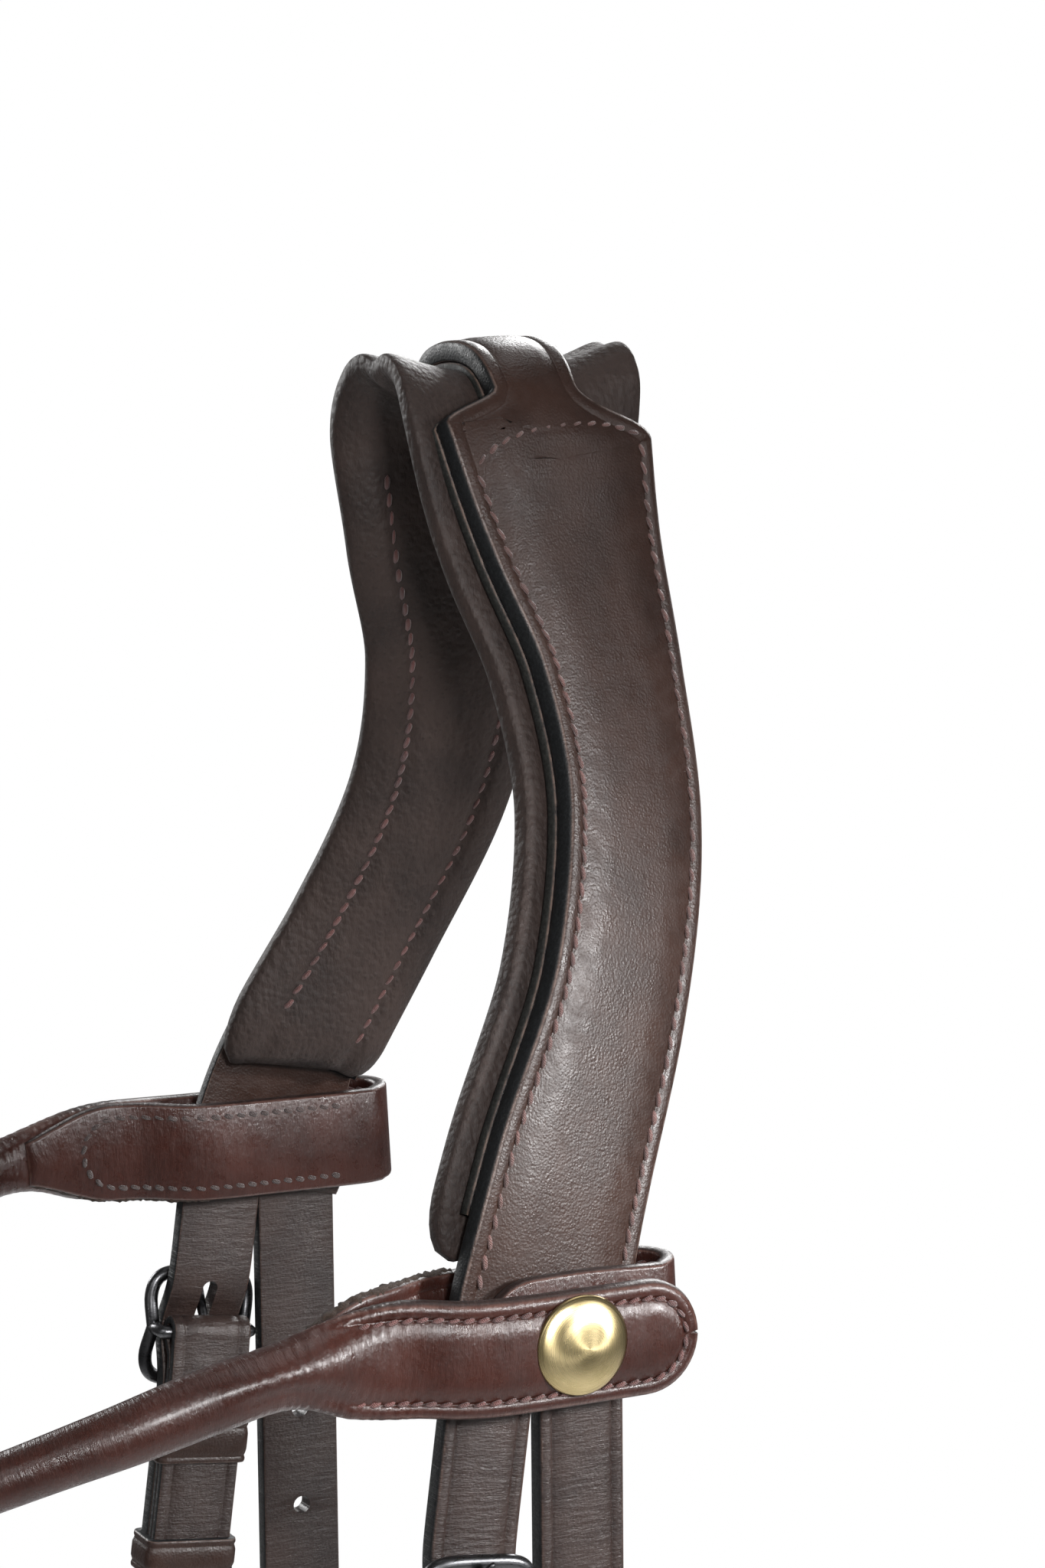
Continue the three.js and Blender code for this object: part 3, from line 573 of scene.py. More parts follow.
def slim(s, most):
    """How much narrower the off wing is than the near one, along its rear edge."""
    return np.where(np.asarray(s) < 0, most * smooth(np.abs(s), 26, 58), 0)


front_edge = wing_edge(NECK / 2, 18, 23)
near_rear = wing_edge(NECK / 2 - 2.2, 18, 31)
rear_edge = lambda s: near_rear(s) - slim(s, LEATHER_SLIM) * (1 - smooth(np.abs(s), HALF - 30, HALF - 13))
WING_END = HALF - 4
PAD_END = {"near": HALF - 19.4, "off": HALF - 31}

wing_shape = section(LEATHER, 0.9, (WING_SEAM,), 0.22, 0.3)
wing_s = np.unique(np.concatenate([stations(-WING_END, WING_END, 1.8), stations(-32, 32, 0.7)]))
strap("headpiece_wings", poll, wing_s, front_edge, "headpiece", BRIDLE, LEATHER,
      rear=rear_edge, shape=wing_shape)
back_s = np.unique(np.concatenate([stations(-PAD_END["off"] - 1, PAD_END["near"] + 1, 2), stations(-32, 32, 0.9)]))
strap("headpiece_firm_layer", poll, back_s, lambda s: front_edge(s) + 0.3, "headpiece", EDGE,
      BACKING + 0.3, -LEATHER - 0.05, lambda s: rear_edge(s) + 0.2, section(BACKING + 0.3, 0.7, (), 0),
      replaces=["headpiece_backing"])


def tail_spot(which, sign, z):
    """The middle of a tail's inner face at height z."""
    offset = -SPREAD / 2 if which == "front" else SPREAD / 2
    return (sign * (FACE_X - LEATHER), SPLIT[0] + offset + LEAN[which] * (z - SPLIT[1]), z)


def punched(obj, cutters):
    """Cuts holes through a strap: cutters are closed (verts, faces). The cut mesh keeps the strap's marks."""
    verts, faces = [], []
    for v, f in cutters:
        faces += [tuple(len(verts) + i for i in g) for g in f]
        verts += [tuple(p) for p in v]
    mesh = bpy.data.meshes.new("holes")
    mesh.from_pydata((np.array(verts) * MM).tolist(), [], faces)
    tool = link(bpy.data.objects.new("holes", mesh))
    cut = obj.modifiers.new("holes", "BOOLEAN")
    cut.operation, cut.object, cut.solver = "DIFFERENCE", tool, "EXACT"
    bpy.context.view_layer.update()
    made = bpy.data.meshes.new_from_object(obj.evaluated_get(bpy.context.evaluated_depsgraph_get()))
    obj.modifiers.remove(cut)
    old = obj.data
    tree = KDTree(len(old.vertices))
    for v in old.vertices:
        tree.insert(v.co, v.index)
    tree.balance()
    marks = old.attributes["strap"].data
    rest, strap_marks = [], []
    for v in made.vertices:
        _, index, away = tree.find(v.co)
        s, across, share = marks[index].vector
        strap_marks += [s, across, share if away < 1e-4 else 0]
        rest += [c / MM for c in v.co]
    for key, values in (("rest", rest), ("strap", strap_marks)):
        if key in made.attributes:
            made.attributes.remove(made.attributes[key])
        made.attributes.new(key, "FLOAT_VECTOR", "POINT").data.foreach_set("vector", values)
    made.set_sharp_from_angle(angle=math.radians(50))
    obj.data = made
    bpy.data.objects.remove(tool)


def hole(line, s, long, radius=1.7):
    """An oblong punch through a strap's full depth."""
    a = np.linspace(0, math.tau, 20, endpoint=False)
    ds = np.cos(a) * radius + np.where(np.cos(a) > 0, long / 2, -long / 2)
    dv = np.sin(a) * radius
    rings = np.stack([line.point(s + ds, dv, np.full(20, n)) for n in (-2.0, 9.0)])
    return rings.reshape(-1, 3), tube(rings)


def bump_at(bar):
    """The rise of a strap's face over a buckle bar at s = bar."""
    return lambda s: LEATHER + 3.8 * np.exp(-(((s - bar) / 6.5) ** 2))


TIPS = {"front": -262, "rear": -312}
TAIL_TOP = -143.0
for side, sign in SIDES.items():
    for which in ("front", "rear"):
        line = Line([tail_spot(which, sign, z) for z in (TAIL_TOP, TIPS[which])], (0, sign, 0), curved=False)
        bar = (TAIL_TOP - (BAR_Z[side] if which == "front" else THROAT_Z)) * math.hypot(1, LEAN[which])
        end = line.length
        half = lambda s, end=end: pointed(end - s)
        strap_s = np.unique(np.concatenate([stations(0, end, 2), stations(bar - 16, bar + 16, 0.9)]))
        label = f"{which}_tail_{side}"
        obj = strap(label, line, strap_s, half, "headpiece", TAIL, LEATHER, bump_at(bar),
                    shape=section(LEATHER, 0.8, (2.3,), 0.34, 0.1),
                    replaces=["headpiece_leather"] if label == "front_tail_near" else ())
        holes = [hole(line, bar - 5.2, 5.6, 1.5)] + [hole(line, s, 0) for s in np.arange(bar + 14, end - 12, 19)]
        if which == "rear":
            holes += [hole(line, s, 0) for s in np.arange(bar - 24, 28, -19)]
        punched(obj, holes)


def pad(start, end):
    """The stuffed pad: it rolls past the leather's edges, with a sewn channel along each and a lobe at the poll."""
    s = np.unique(np.concatenate([stations(start, end, 1.6), stations(-30, 30, 0.8)]))
    s = s[(s >= start) & (s <= end)]
    away = np.minimum(s - start, end - s)
    close = np.sqrt(np.clip(1 - (1 - np.clip(away / 9, 0, 1)) ** 2, 0.03, 1))
    half = poll.width(s) / 2
    top, around = -LEATHER - BACKING - 0.15, 96
    rings = []
    for a in np.linspace(0, math.tau, around, endpoint=False):
        cx, cy = math.cos(a), math.sin(a)
        sx = np.sign(cx) * abs(cx) ** 0.62
        sy = np.sign(cy) * abs(cy) ** 0.78
        rear_half = half + 1.8 - slim(s, PAD_SLIM)
        v = np.where(sx < 0, sx * (half + 3.5), sx * rear_half) * (0.72 + 0.28 * close)
        thick = (PAD + 0.8) * (0.45 + 0.55 * close)
        depth = top - thick * (0.5 - 0.5 * sy)
        if sy > 0.2:
            depth = depth + 0.9 * abs(sx) ** 4
        lobe = 6.6 * np.exp(-((s / 24) ** 2)) - 1.8 * np.exp(-((s / 3.5) ** 2))
        depth = depth + lobe * abs(sx) ** 2.2
        if sy < 0:
            row = np.where(v > 0, half - slim(s, PAD_SLIM), half) - PAD_SEAM
            channel = np.exp(-(((np.abs(v) - row) / 1.3) ** 2)) * smooth(np.abs(s), 24, 32)
            depth = depth + channel * (0.75 + 0.12 * np.sin(s * math.tau / 3.2))
        lower = 9 * np.clip(-v / half, 0, 1) * smooth(np.abs(s), end - 30, end)
        c, w, n, _ = poll.at(s + np.sign(s) * lower)
        rings.append(c + w * v[:, None] + n * depth[:, None])
    rings = np.stack(rings, 1)[:, ::-1]
    obj = make("headpiece_pad", rings.reshape(-1, 3), tube(rings), SOFT, "headpiece",
               replaces=["headpiece_pad_cover", "headpiece_pad_foam"])


pad(-PAD_END["off"], PAD_END["near"])
for side, sign in SIDES.items():
    s = stations(30, PAD_END[side] - 7, 1)
    for label, way in WAYS.items():
        inset = poll.width(sign * s) / 2 - PAD_SEAM - (slim(sign * s, PAD_SLIM) if way > 0 else 0)
        stitches(f"pad_stitching_{label}_{side}", poll, np.stack([sign * s, way * inset], 1), "headpiece", THREAD_RED,
                 -12.0, 3.2, 2.7, 0.5, 14, -1)

for side, sign in SIDES.items():
    s = stations(31, min(PAD_END[side] + 12, WING_END - 2), 1.0)
    for (label, way), edge in zip(WAYS.items(), (front_edge, rear_edge)):
        path = np.stack([sign * s, way * (edge(sign * s) - WING_SEAM)], 1)
        stitches(f"wing_stitching_{label}_{side}", poll, path, "headpiece", THREAD_TOP, 0.08, 3.1, 2.7, 0.46, 20 * sign)
    v = np.linspace(-(front_edge(sign * 31.0)[0] - WING_SEAM), rear_edge(sign * 31.0)[0] - WING_SEAM, 24)
    dip = 30.4 - 4.6 * (1 - np.abs(v / 19) ** 2.6)
    stitches(f"wing_stitching_top_{side}", poll, np.stack([sign * dip, v], 1), "headpiece", THREAD_TOP, 0.1, 3.1, 2.6,
             0.46, 14 * sign)

# ---- Browband ----
FLAP_PATH = [(60, -64, 3.0), (60.9, -56, 2.2), (63.0, -49, 1.2)]
FLAP_PATH += [(63.9, -42, 0.5), (63.9, -29, -0.4), (63.9, -7, -1.7)]
FLAP_HALF = 9.4


def browband_points(side):
    """The line of half a browband, from the middle of the brow to the flap's tip."""
    roll = [(x, y, z) for (x, y), z in zip(BROWBAND_PLAN, BROWBAND_Z[side])]
    return roll + [(x, y, LOOP_Z[side] + dz) for x, y, dz in FLAP_PATH]


def browband_half(side, sign):
    """Rolled leather from the middle of the brow, flaring flat and running on as the press-stud flap."""
    line = Line(flip(browband_points(side), sign), (0, 0, sign))
    end = line.length
    root = end - 57
    tip_s = end - FLAP_HALF + FLAP_HALF * np.sin(np.linspace(0, math.pi / 2, 12))
    s = np.concatenate([stations(0, root - 30, 1.8)[:-1], stations(root - 30, root + 14, 0.4)[:-1],
                        stations(root + 14, end - FLAP_HALF, 1.6)[:-1], tip_s])
    flat = smooth(s, root - 26, root + 6)
    roll = 4.3 + 0.8 * smooth(s, root - 62, root - 26)
    height = roll + (FLAP_HALF - roll) * smooth(s, root - 24, root - 2)
    tip = round_tip(end, FLAP_HALF)(s)
    c, w, n, _ = line.at(s)
    t = np.cross(w, n)
    profile = section(3.2, 1.3, (FLAP_SEAM,), 0.5, 0.55, 0.9)
    count = len(profile)
    rings, marks = [], []
    for k, (f, a, b, e) in enumerate(profile):
        across, along = outline(tip, s, abs(a) if f in (0, 1) else MIDDLE_PULL)
        v_flat = -tip * height / FLAP_HALF * (1 - 2 * f) + np.sign(a) * across
        n_flat = 1.6 - b
        angle = math.pi - math.tau * (k + 0.5) / count
        v_round = roll * math.cos(angle + math.pi * 0.12)
        n_round = roll * math.sin(angle + math.pi * 0.12)
        v = v_round * (1 - flat) + v_flat * flat
        out = n_round * (1 - flat) + n_flat * flat
        swell = 1.5 * smooth(s, root - 30, root - 14) * (1 - smooth(s, root - 12, root + 8))
        out = out + swell * (f > 0.25) * (f < 0.75) * (b < 1)
        bend = smooth(s, root - 26, root - 12) * (1 - smooth(s, root + 2, root + 12))
        out = out + 0.13 * bend * np.sin(s * 3.3 + 2.2 * np.sin(v * 0.55) + 1.3 * np.sin(s * 0.9))
        rings.append(c + w * v[:, None] + n * out[:, None] - t * (along * flat)[:, None])
        marks.append(np.stack([s, v, np.full(len(s), e) * flat], 1))
    rings, marks = np.stack(rings, 1), np.stack(marks, 1)
    obj = make(f"browband_{side}", rings.reshape(-1, 3), tube(rings), FLAP_LEATHER, None,
               {"strap": marks.reshape(-1, 3)})
    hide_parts(f"browband_flap_{side}", *(["browband_leather", "browband_core"] if side == "near" else []))
    inset = FLAP_HALF - FLAP_SEAM
    u_end = half_ring(end - FLAP_HALF, inset)
    path = [(root - 3, -inset + 0.6), (root + 8, -inset), *u_end, (root + 8, inset), (root - 3, inset - 0.6)]
    sewn = stitches(f"flap_stitching_{side}", line, path, None, THREAD_RED, 1.62, TIP_PITCH, 2.1, 0.42, 16 * sign)
    for piece in (obj, sewn):
        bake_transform(piece)


def tab(side, sign):
    """The lined tab: it passes inside the headpiece, wraps its rear edge and ends under the flap."""
    inside = 48.9 if side == "near" else 47.2
    outside = 59.7
    middle, radius = (inside + outside) / 2, (outside - inside) / 2
    turn_y, rise = (-12.5, 2.0) if side == "near" else (-12.8, 2.6)
    z = LOOP_Z[side] + 1.2
    points = [(57.2, -76, z + rise * 0.9), (56.2, -70, z + rise), (55.3, -64, z + rise), (53.0, -56, z + rise * 0.9)]
    points += [(inside, -46, z + rise * 0.6), (inside, -30, z + rise * 0.1)]
    for a in np.radians([-90, -60, -30, 0, 30, 60, 90]):
        points.append((middle + radius * math.sin(a), turn_y + radius * math.cos(a), z - 0.9))
    points += [(outside, -26, z + 0.5), (outside, -43.5, z + 1.1)]
    line = Line(flip(points, sign), (0, 0, sign))
    end = line.length
    radius_v = 9.0
    half = lambda s: np.minimum(round_tip(end, radius_v)(s), 3.5 + (radius_v - 3.5) * smooth(s, -4, 16))
    shape = section(2.5, 0.8, (2.4,), 0.25, 0.1, 0.7)
    strap(f"browband_tab_piece_{side}", line, tip_stations(0, end, radius_v, 1.3), half, "browband", FLAP_LEATHER,
          2.5, 1.25, shape=shape, replaces=[f"browband_tab_{side}"])
    inset = radius_v - 2.4
    outer = [(34, -inset), *half_ring(end - radius_v, inset, 18), (34, inset)]
    stitches(f"tab_stitching_outer_{side}", line, outer, "browband", THREAD_RED, 1.28, TIP_PITCH, 2.1, 0.4, 16 * sign)
    u_start = [(17 - (s - 17), v) for s, v in half_ring(17, inset, 18)]
    inner = [(end * 0.52, inset), *reversed(u_start), (end * 0.52, -inset)]
    stitches(f"tab_stitching_inner_{side}", line, inner, "browband", THREAD_DARK, -1.3, TIP_PITCH, 2.1, 0.4, 16, -1)
    raw_s = stations(1, 34, 0.5)
    fray = 0.5 + 0.16 * rng.normal(size=len(raw_s))
    path = line.point(raw_s, half(raw_s) - 0.3, 0.25 * rng.normal(size=len(raw_s)))
    rings = sweep(path, 0.45 + 0.7 * np.abs(fray), 10, flat=0.9)
    make(f"tab_raw_edge_{side}", rings.reshape(-1, 3), tube(rings), SUEDE, "browband")


def cap(side, sign):
    """The domed press-stud cap with its rolled rim, spun about X."""
    rise = [(0, 2.75), (1.6, 2.7), (3.2, 2.5), (4.8, 2.12), (6.2, 1.6), (7.2, 1.1), (7.8, 0.75)]
    rise += [(8.1, 0.45), (8.15, 0.15), (8.05, -0.15), (7.7, -0.3), (6.5, -0.3)]
    around = 72
    verts, faces = [], []
    for r, h in rise[1:]:
        for k in range(around):
            a = math.tau * k / around
            verts.append((sign * h, r * math.cos(a) * sign, r * math.sin(a)))
    for i in range(len(rise) - 2):
        for k in range(around):
            m = (k + 1) % around
            faces.append((i * around + k, (i + 1) * around + k, (i + 1) * around + m, i * around + m))
    top = len(verts)
    verts.append((sign * rise[0][1], 0, 0))
    faces += [(top, k, (k + 1) % around) for k in range(around)]
    last = (len(rise) - 2) * around
    faces.append(tuple(last + k for k in range(around))[::-1])
    obj = make(f"stud_cap_{side}", verts, faces, CAP, None)
    obj.location = (sign * 65.75 * MM, STUD_Y * MM, (LOOP_Z[side] + 0.5) * MM)
    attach(obj, f"flap_{side}")
    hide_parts(f"press_stud_cap_{side}")


for side, sign in SIDES.items():
    browband_half(side, sign)
    tab(side, sign)
    cap(side, sign)


# ---- Buckles, rings and straps ----
class Seat:
    """A place on a strap: x out of its inner face, y across and z up the strap, before mirroring."""

    def __init__(self, origin, tilt, sign=1):
        self.o = np.array(origin, float)
        self.tilt, self.sign = tilt, sign

    def __call__(self, points):
        p = np.array(points, float)
        flat = p.reshape(-1, 3)
        c, s = math.cos(self.tilt), math.sin(self.tilt)
        y, z = flat[:, 1] * c - flat[:, 2] * s, flat[:, 1] * s + flat[:, 2] * c
        return (np.stack([self.sign * flat[:, 0], y, z], 1) + self.o).reshape(p.shape)

    def way(self, direction):
        return self([direction])[0] - self.o

    @property
    def across(self):
        return np.array([0, math.cos(self.tilt), math.sin(self.tilt)]) * self.sign


def arc(centre, radius, start, end, count=10):
    """Points in the seat's XZ plane; angles are in degrees from +x towards +z."""
    a = np.radians(np.linspace(start, end, count))
    return [(centre[0] + radius * math.cos(t), 0, centre[1] + radius * math.sin(t)) for t in a]


BUCKLE_HALF = STRAP / 2 + 0.5 + 1.2
FRAME_X = LEATHER + GAP + 1.2 + 0.6


def buckle(label, seat, body):
    """A whole buckle with a nipped waist, its frame bowed over the strap."""
    tall = 10.3
    a = np.linspace(0, math.tau, 72, endpoint=False)
    squared = lambda c: np.sign(c) * np.abs(c) ** 0.42
    z = tall * squared(np.sin(a))
    waist = np.exp(-((z / 3.4) ** 2))
    y = BUCKLE_HALF * squared(np.cos(a)) * (1.045 - 0.075 * waist)
    x = FRAME_X - 0.25 + 0.35 * (np.abs(z) / tall) ** 2 - 1.12 * waist
    ring = sweep(seat(np.stack([x, y, z], 1)), 1.28, 12, True, 0.92, up=(1, 0, 0))
    bar_path = [(0.0, v, 0.0) for v in np.linspace(-BUCKLE_HALF * 0.9, BUCKLE_HALF * 0.9, 9)]
    rise = [(x, -BUCKLE_HALF * share, 0) for x, share in ((FRAME_X - 1.3, 0.97), (2.2, 0.97), (0.5, 0.95))]
    path = rise + bar_path + [(p[0], -p[1], 0) for p in reversed(rise)]
    bar = sweep(seat(path), 1.2, 10, up=seat.way((0, 0, 1)))
    verts, faces = join_rings([(ring, True), (bar, False)])
    make(f"{label}_frame", verts, faces, STEEL, body, replaces=[f"{label}_buckle"])


def tongue(label, seat, body):
    """The tongue: a loop round the bar and a tapered pin that lies over the frame."""
    rise = math.radians(40)
    loop = arc((0, 0), 2.15, 150, 400, 16)
    last = np.array(loop[-1])
    pin = [last + np.array([math.sin(rise), 0, math.cos(rise)]) * d for d in np.linspace(1.5, 13, 9)]
    path = np.array([*loop, *[p + np.array([0.3 * math.sin(i / 3), 0, 0]) for i, p in enumerate(pin)]])
    radius = np.concatenate([np.full(len(loop), 0.72), np.linspace(0.9, 1.05, 5), [1.0, 0.9, 0.75, 0.35]])
    rings = sweep(seat(path), radius, 10, up=seat.across)
    make(f"{label}_pin", rings.reshape(-1, 3), tube(rings), STEEL, body, replaces=[f"{label}_buckle_tongue"])


def keeper(label, node, seat, middle, height, body):
    """A leather loop round a strap pair, creased along both edges."""
    low, high, wide = -GAP - DOUBLED - GAP - 0.75, LEATHER + 0.5 + 0.75, STRAP / 2 + 0.5 + 0.75
    r = 1.7
    corners = [(high - r, wide - r, 0), (low + r, wide - r, 90), (low + r, -wide + r, 180), (high - r, -wide + r, 270)]
    points = []
    for cx, cy, start in corners:
        for a in np.radians(np.linspace(start, start + 90, 7)):
            points.append((cx + r * math.cos(a), cy + r * math.sin(a), middle))
    line = closed_line(points, seat.way((0, 0, 1)) * seat.sign, 2, seat)
    strap(label, line, line.s[:-1], height / 2, body, BRIDLE, 1.6, 0.0,
          shape=section(1.6, 0.45, (1.3,), 0.2, 0.15, 0.3), closed=True, replaces=[node])


def ring_dip(centre, axis):
    """Bends a strap's eye round a ring. centre is the ring's middle, axis the way the strap leaves it."""

    def warp(rings):
        flat = rings.reshape(-1, 3)
        rel = flat - np.array(centre)
        along = rel @ axis
        v = rel @ np.cross(axis, (1.0, 0, 0))
        near = 1 - smooth(along, RING_RADIUS + 6, RING_RADIUS + 20)
        sag = RING_RADIUS - np.sqrt(np.maximum(RING_RADIUS**2 - v**2, 0))
        return (flat - axis * (sag * near)[:, None]).reshape(rings.shape)

    return warp


def doubled(label, node, seat, length, body, ring=None):
    """A strap folded round a buckle bar at z = 0 and, lower down, round a ring; one closed band of leather."""
    t = 1.5
    out_x, in_x = -GAP - t / 2, -GAP - DOUBLED + t / 2
    middle = (out_x + in_x) / 2
    path = [(out_x, 0, -6.5), (out_x + 0.35, 0, -4.2), *arc((0, 0), 1.3 + GAP + t / 2, -20, 200, 14)]
    path += [(in_x + 0.1, 0, -4.6), (in_x, 0, -8)]
    if ring:
        low = -length + RING_RADIUS
        path += [(in_x, 0, low + 12), (in_x - 0.5, 0, low + 7)]
        path += arc((middle, low), RING_WIRE + GAP + t / 2, 155, 385, 16)
        path += [(out_x + 0.5, 0, low + 7), (out_x, 0, low + 12)]
    else:
        path += [(in_x, 0, -length + 1)] + arc((middle, -length + 1), (out_x - in_x) / 2, 180, 360, 8)
    path += [(out_x, 0, -length + (40 if ring else 6))]
    line = closed_line(path, -seat.across, 2.2, seat)
    strap(label, line, line.s[:-1], STRAP / 2, body, TAIL, t, t / 2,
          shape=section(t, 0.5, (2.3,), 0.22, 0.05, 0.15), closed=True,
          warp=ring_dip(ring, seat.way((0, 0, 1))) if ring else None, replaces=[node])


def strap_seat(which, z, sign):
    return Seat(tail_spot(which, sign, z), -math.atan(LEAN[which]), sign)


def round_ring(label, centre, radius, wire, body, node, axis=(1, 0, 0), side=(0, 1, 0)):
    a = np.linspace(0, math.tau, 96, endpoint=False)[:, None]
    path = np.array(centre) + radius * (np.array(side) * np.cos(a) + np.array([0, 0, 1]) * np.sin(a))
    rings = sweep(path, wire, 16, True, up=axis)
    make(label, rings.reshape(-1, 3), tube(rings, True), STEEL, body, replaces=[node])


RING_Y = tail_spot("front", 1, RING_Z)[1]
RING_X = FACE_X - LEATHER - GAP - DOUBLED / 2
for side, sign in SIDES.items():
    seat = strap_seat("front", BAR_Z[side], sign)
    buckle(f"cheek_{side}", seat, "headpiece")
    tongue(f"cheek_{side}", seat, f"cheek_tongue_{side}")
    keeper(f"cheek_keeper_piece_{side}", f"cheek_{side}_keeper", seat, -20, 8, "headpiece")
    keeper(f"cheek_runner_piece_{side}", f"cheek_runner_{side}", seat, -42, 7, f"runner_{side}")
    drop = (BAR_Z[side] - RING_Z) * math.hypot(1, LEAN["front"])
    centre = (sign * RING_X, RING_Y, RING_Z)
    doubled(f"cheekpiece_piece_{side}", f"cheekpiece_{side}", seat, drop, "headpiece", centre)
    round_ring(f"cheek_ring_piece_{side}", centre, RING_RADIUS, RING_WIRE, "headpiece", f"cheek_ring_{side}")
    seat = strap_seat("rear", THROAT_Z, sign)
    buckle(f"throat_{side}", seat, "headpiece")
    tongue(f"throat_{side}", seat, f"throat_tongue_{side}")
    keeper(f"throat_keeper_piece_{side}", f"throat_{side}_keeper", seat, -20, 8, "headpiece")
    doubled(f"throat_chape_piece_{side}", f"throat_chape_{side}", seat, 66, "headpiece")

# ---- Throatlash ----
seat = strap_seat("rear", THROAT_Z, 1)
throat_x = FACE_X - LEATHER - 3 * GAP - 1.5 * DOUBLED
plane = Seat((0, seat.o[1], THROAT_Z), seat.tilt)
drop_points = [(throat_x, -50), (throat_x, -67), (46.8, -82), (39, -106), (23, -127), (0, -134)]
curve = [(x, 0, z) for x, z in drop_points] + [(-x, 0, z) for x, z in drop_points[-2::-1]]
line = Line(plane(curve)[::-1], plane.across)
one_end = round_tip(line.length, STRAP / 2)
ends = lambda s: np.minimum(one_end(s), one_end(line.length - s))
mid = tip_stations(line.length / 2, line.length, STRAP / 2, 2)
both = np.unique(np.concatenate([line.length - mid, mid]))
strap("throatlash_piece", line, both, ends, "throatlash", TAIL, DOUBLED, DOUBLED / 2,
      shape=section(DOUBLED, 0.7, (2.3,), 0.28, 0.1), replaces=["throatlash_strap"])

# ---- Noseband, chin strap and lead ring ----
nose_seat = Seat((0, RING_Y, RING_Z), math.radians(12))
chin_seat = Seat((0, RING_Y, RING_Z), math.radians(-40))
NEAR_RING = (RING_X, RING_Y, RING_Z)
OFF_RING = (-RING_X, RING_Y, RING_Z)
EYE = RING_WIRE + GAP + 0.9
turn = np.radians(np.linspace(-155, 155, 15))
ring_eye = [(RING_X - math.sin(a) * EYE, math.cos(a) * EYE - RING_RADIUS, 0) for a in turn]


def both_sides(half):
    """A line of points (x, y, 0) from one side to the other, from its near half."""
    return half + [(-x, y, z) for x, y, z in half[-2::-1]]


nose = [(RING_X + 1.2, -27, 0), (54.5, -42, 0), (56.3, -66, 0), (49.6, -98, 0), (29, -122.8, 0), (0, -130, 0)]
path = [(RING_X - 1.4, -44, 0), (RING_X - 1.4, -26, 0)] + ring_eye + nose
line = Line(nose_seat(both_sides(path))[::-1], nose_seat.way((0, 0, 1)))
nose_half = lambda s: 8 + 5 * smooth(np.minimum(s, line.length - s), 50, 100)
strap("noseband_piece", line, stations(0, line.length, 1.8), nose_half, "noseband", BRIDLE, 1.9,
      0.95, shape=section(1.9, 0.7, (2.6,), 0.25, 0.7, 0.2), warp=ring_dip(NEAR_RING, nose_seat.way((0, -1, 0))),
      replaces=["noseband_leather"])
inner = [(52.6, -44, 0), (53.4, -66, 0), (46.9, -97, 0), (27.4, -119.4, 0), (0, -126.4, 0)]
lining = Line(nose_seat(both_sides(inner))[::-1], nose_seat.way((0, 0, 1)))
strap("noseband_padding", lining, stations(0, lining.length, 2), 10.6, "noseband", LINING, 3.4, 1.7,
      shape=section(3.4, 1.3, (), 0, 0.3, 1.3), replaces=["noseband_lining"])
for label, way in (("low", -1), ("top", 1)):
    s = stations(40, line.length - 40, 1.5)
    stitches(f"noseband_stitching_{label}", line, np.stack([s, way * (nose_half(s) - 2.6)], 1), "noseband",
             THREAD_DARK, 1.0, 3.1, 2.6, 0.42, 18)

x_out = RING_X + DOUBLED / 2 + GAP + LEATHER / 2
chin_points = [(x_out, 30, 0), (x_out, 48, 0), (x_out, 66, 0), (x_out - 0.9, 82, 0), (45, 106, 0), (26, 121, 0)]
chin_points += [(0, 126, 0), (-26, 121, 0), (-45, 106, 0), (-RING_X, 84, 0), (-RING_X, 62, 0), (-RING_X - 1.0, 40, 0)]
chin_points += [(-x, -y, z) for x, y, z in ring_eye] + [(-RING_X + 2.6, 30, 0), (-RING_X + 2.4, 44, 0)]
line = Line(chin_seat(chin_points), chin_seat.way((0, 0, 1)))
bar = 36.0
chin_s = np.unique(np.concatenate([stations(0, line.length, 2), stations(20, 52, 0.9)]))
chin_top = lambda s: bump_at(bar)(s) - LEATHER + 1.0 + 0.8 * (1 - smooth(s, 150, 190))
obj = strap("chin_strap_piece", line, chin_s, pointed, "chin", TAIL, 2.6, chin_top,
            shape=section(2.6, 0.7, (2.3,), 0.28, 0.1, 0.5), warp=ring_dip(OFF_RING, chin_seat.way((0, 1, 0))),
            replaces=["chin_strap"])
punched(obj, [hole(line, bar + 5.2, 5.6, 1.5)] + [hole(line, s, 0) for s in (17, 54, 73)])
seat = Seat(chin_seat([[RING_X + DOUBLED / 2 + GAP, 66, 0]])[0], math.radians(-130))
buckle("chin", seat, "chin")
tongue("chin", seat, "chin_tongue")
keeper("chin_keeper_piece", "chin_keeper", seat, -20, 8, "chin")
doubled("chin_billet_piece", "chin_billet", seat, 66, "chin", NEAR_RING)
lead = chin_seat([[0, 126, -16]])[0] - (0, 0, 15)
round_ring("lead_ring_piece", lead, 15, 2.2, "lead_ring", "lead_ring", (0, 1, 0), (1, 0, 0))

loop_path = []
hx, hz = LEATHER / 2 + 0.6 + 0.9, STRAP / 2 + GAP + 0.9
for a in np.radians(np.linspace(0, 180, 13)):
    loop_path.append((0, 126 + hx * math.cos(a), hz - hx * 0.7 + hx * 0.7 * math.sin(a)))
for a in np.radians(np.linspace(165, 375, 17)):
    loop_path.append((0, 126 + 4.7 * math.cos(a), -16 + 4.7 * math.sin(a)))
line = closed_line(chin_seat(loop_path), (1, 0, 0), 1.5)
strap("lead_ring_loop_piece", line, line.s[:-1], 5, "chin", TAIL, 1.7, 0.85,
      shape=section(1.7, 0.5, (1.5,), 0.2, 0.1, 0.4), closed=True, replaces=["lead_ring_loop"])

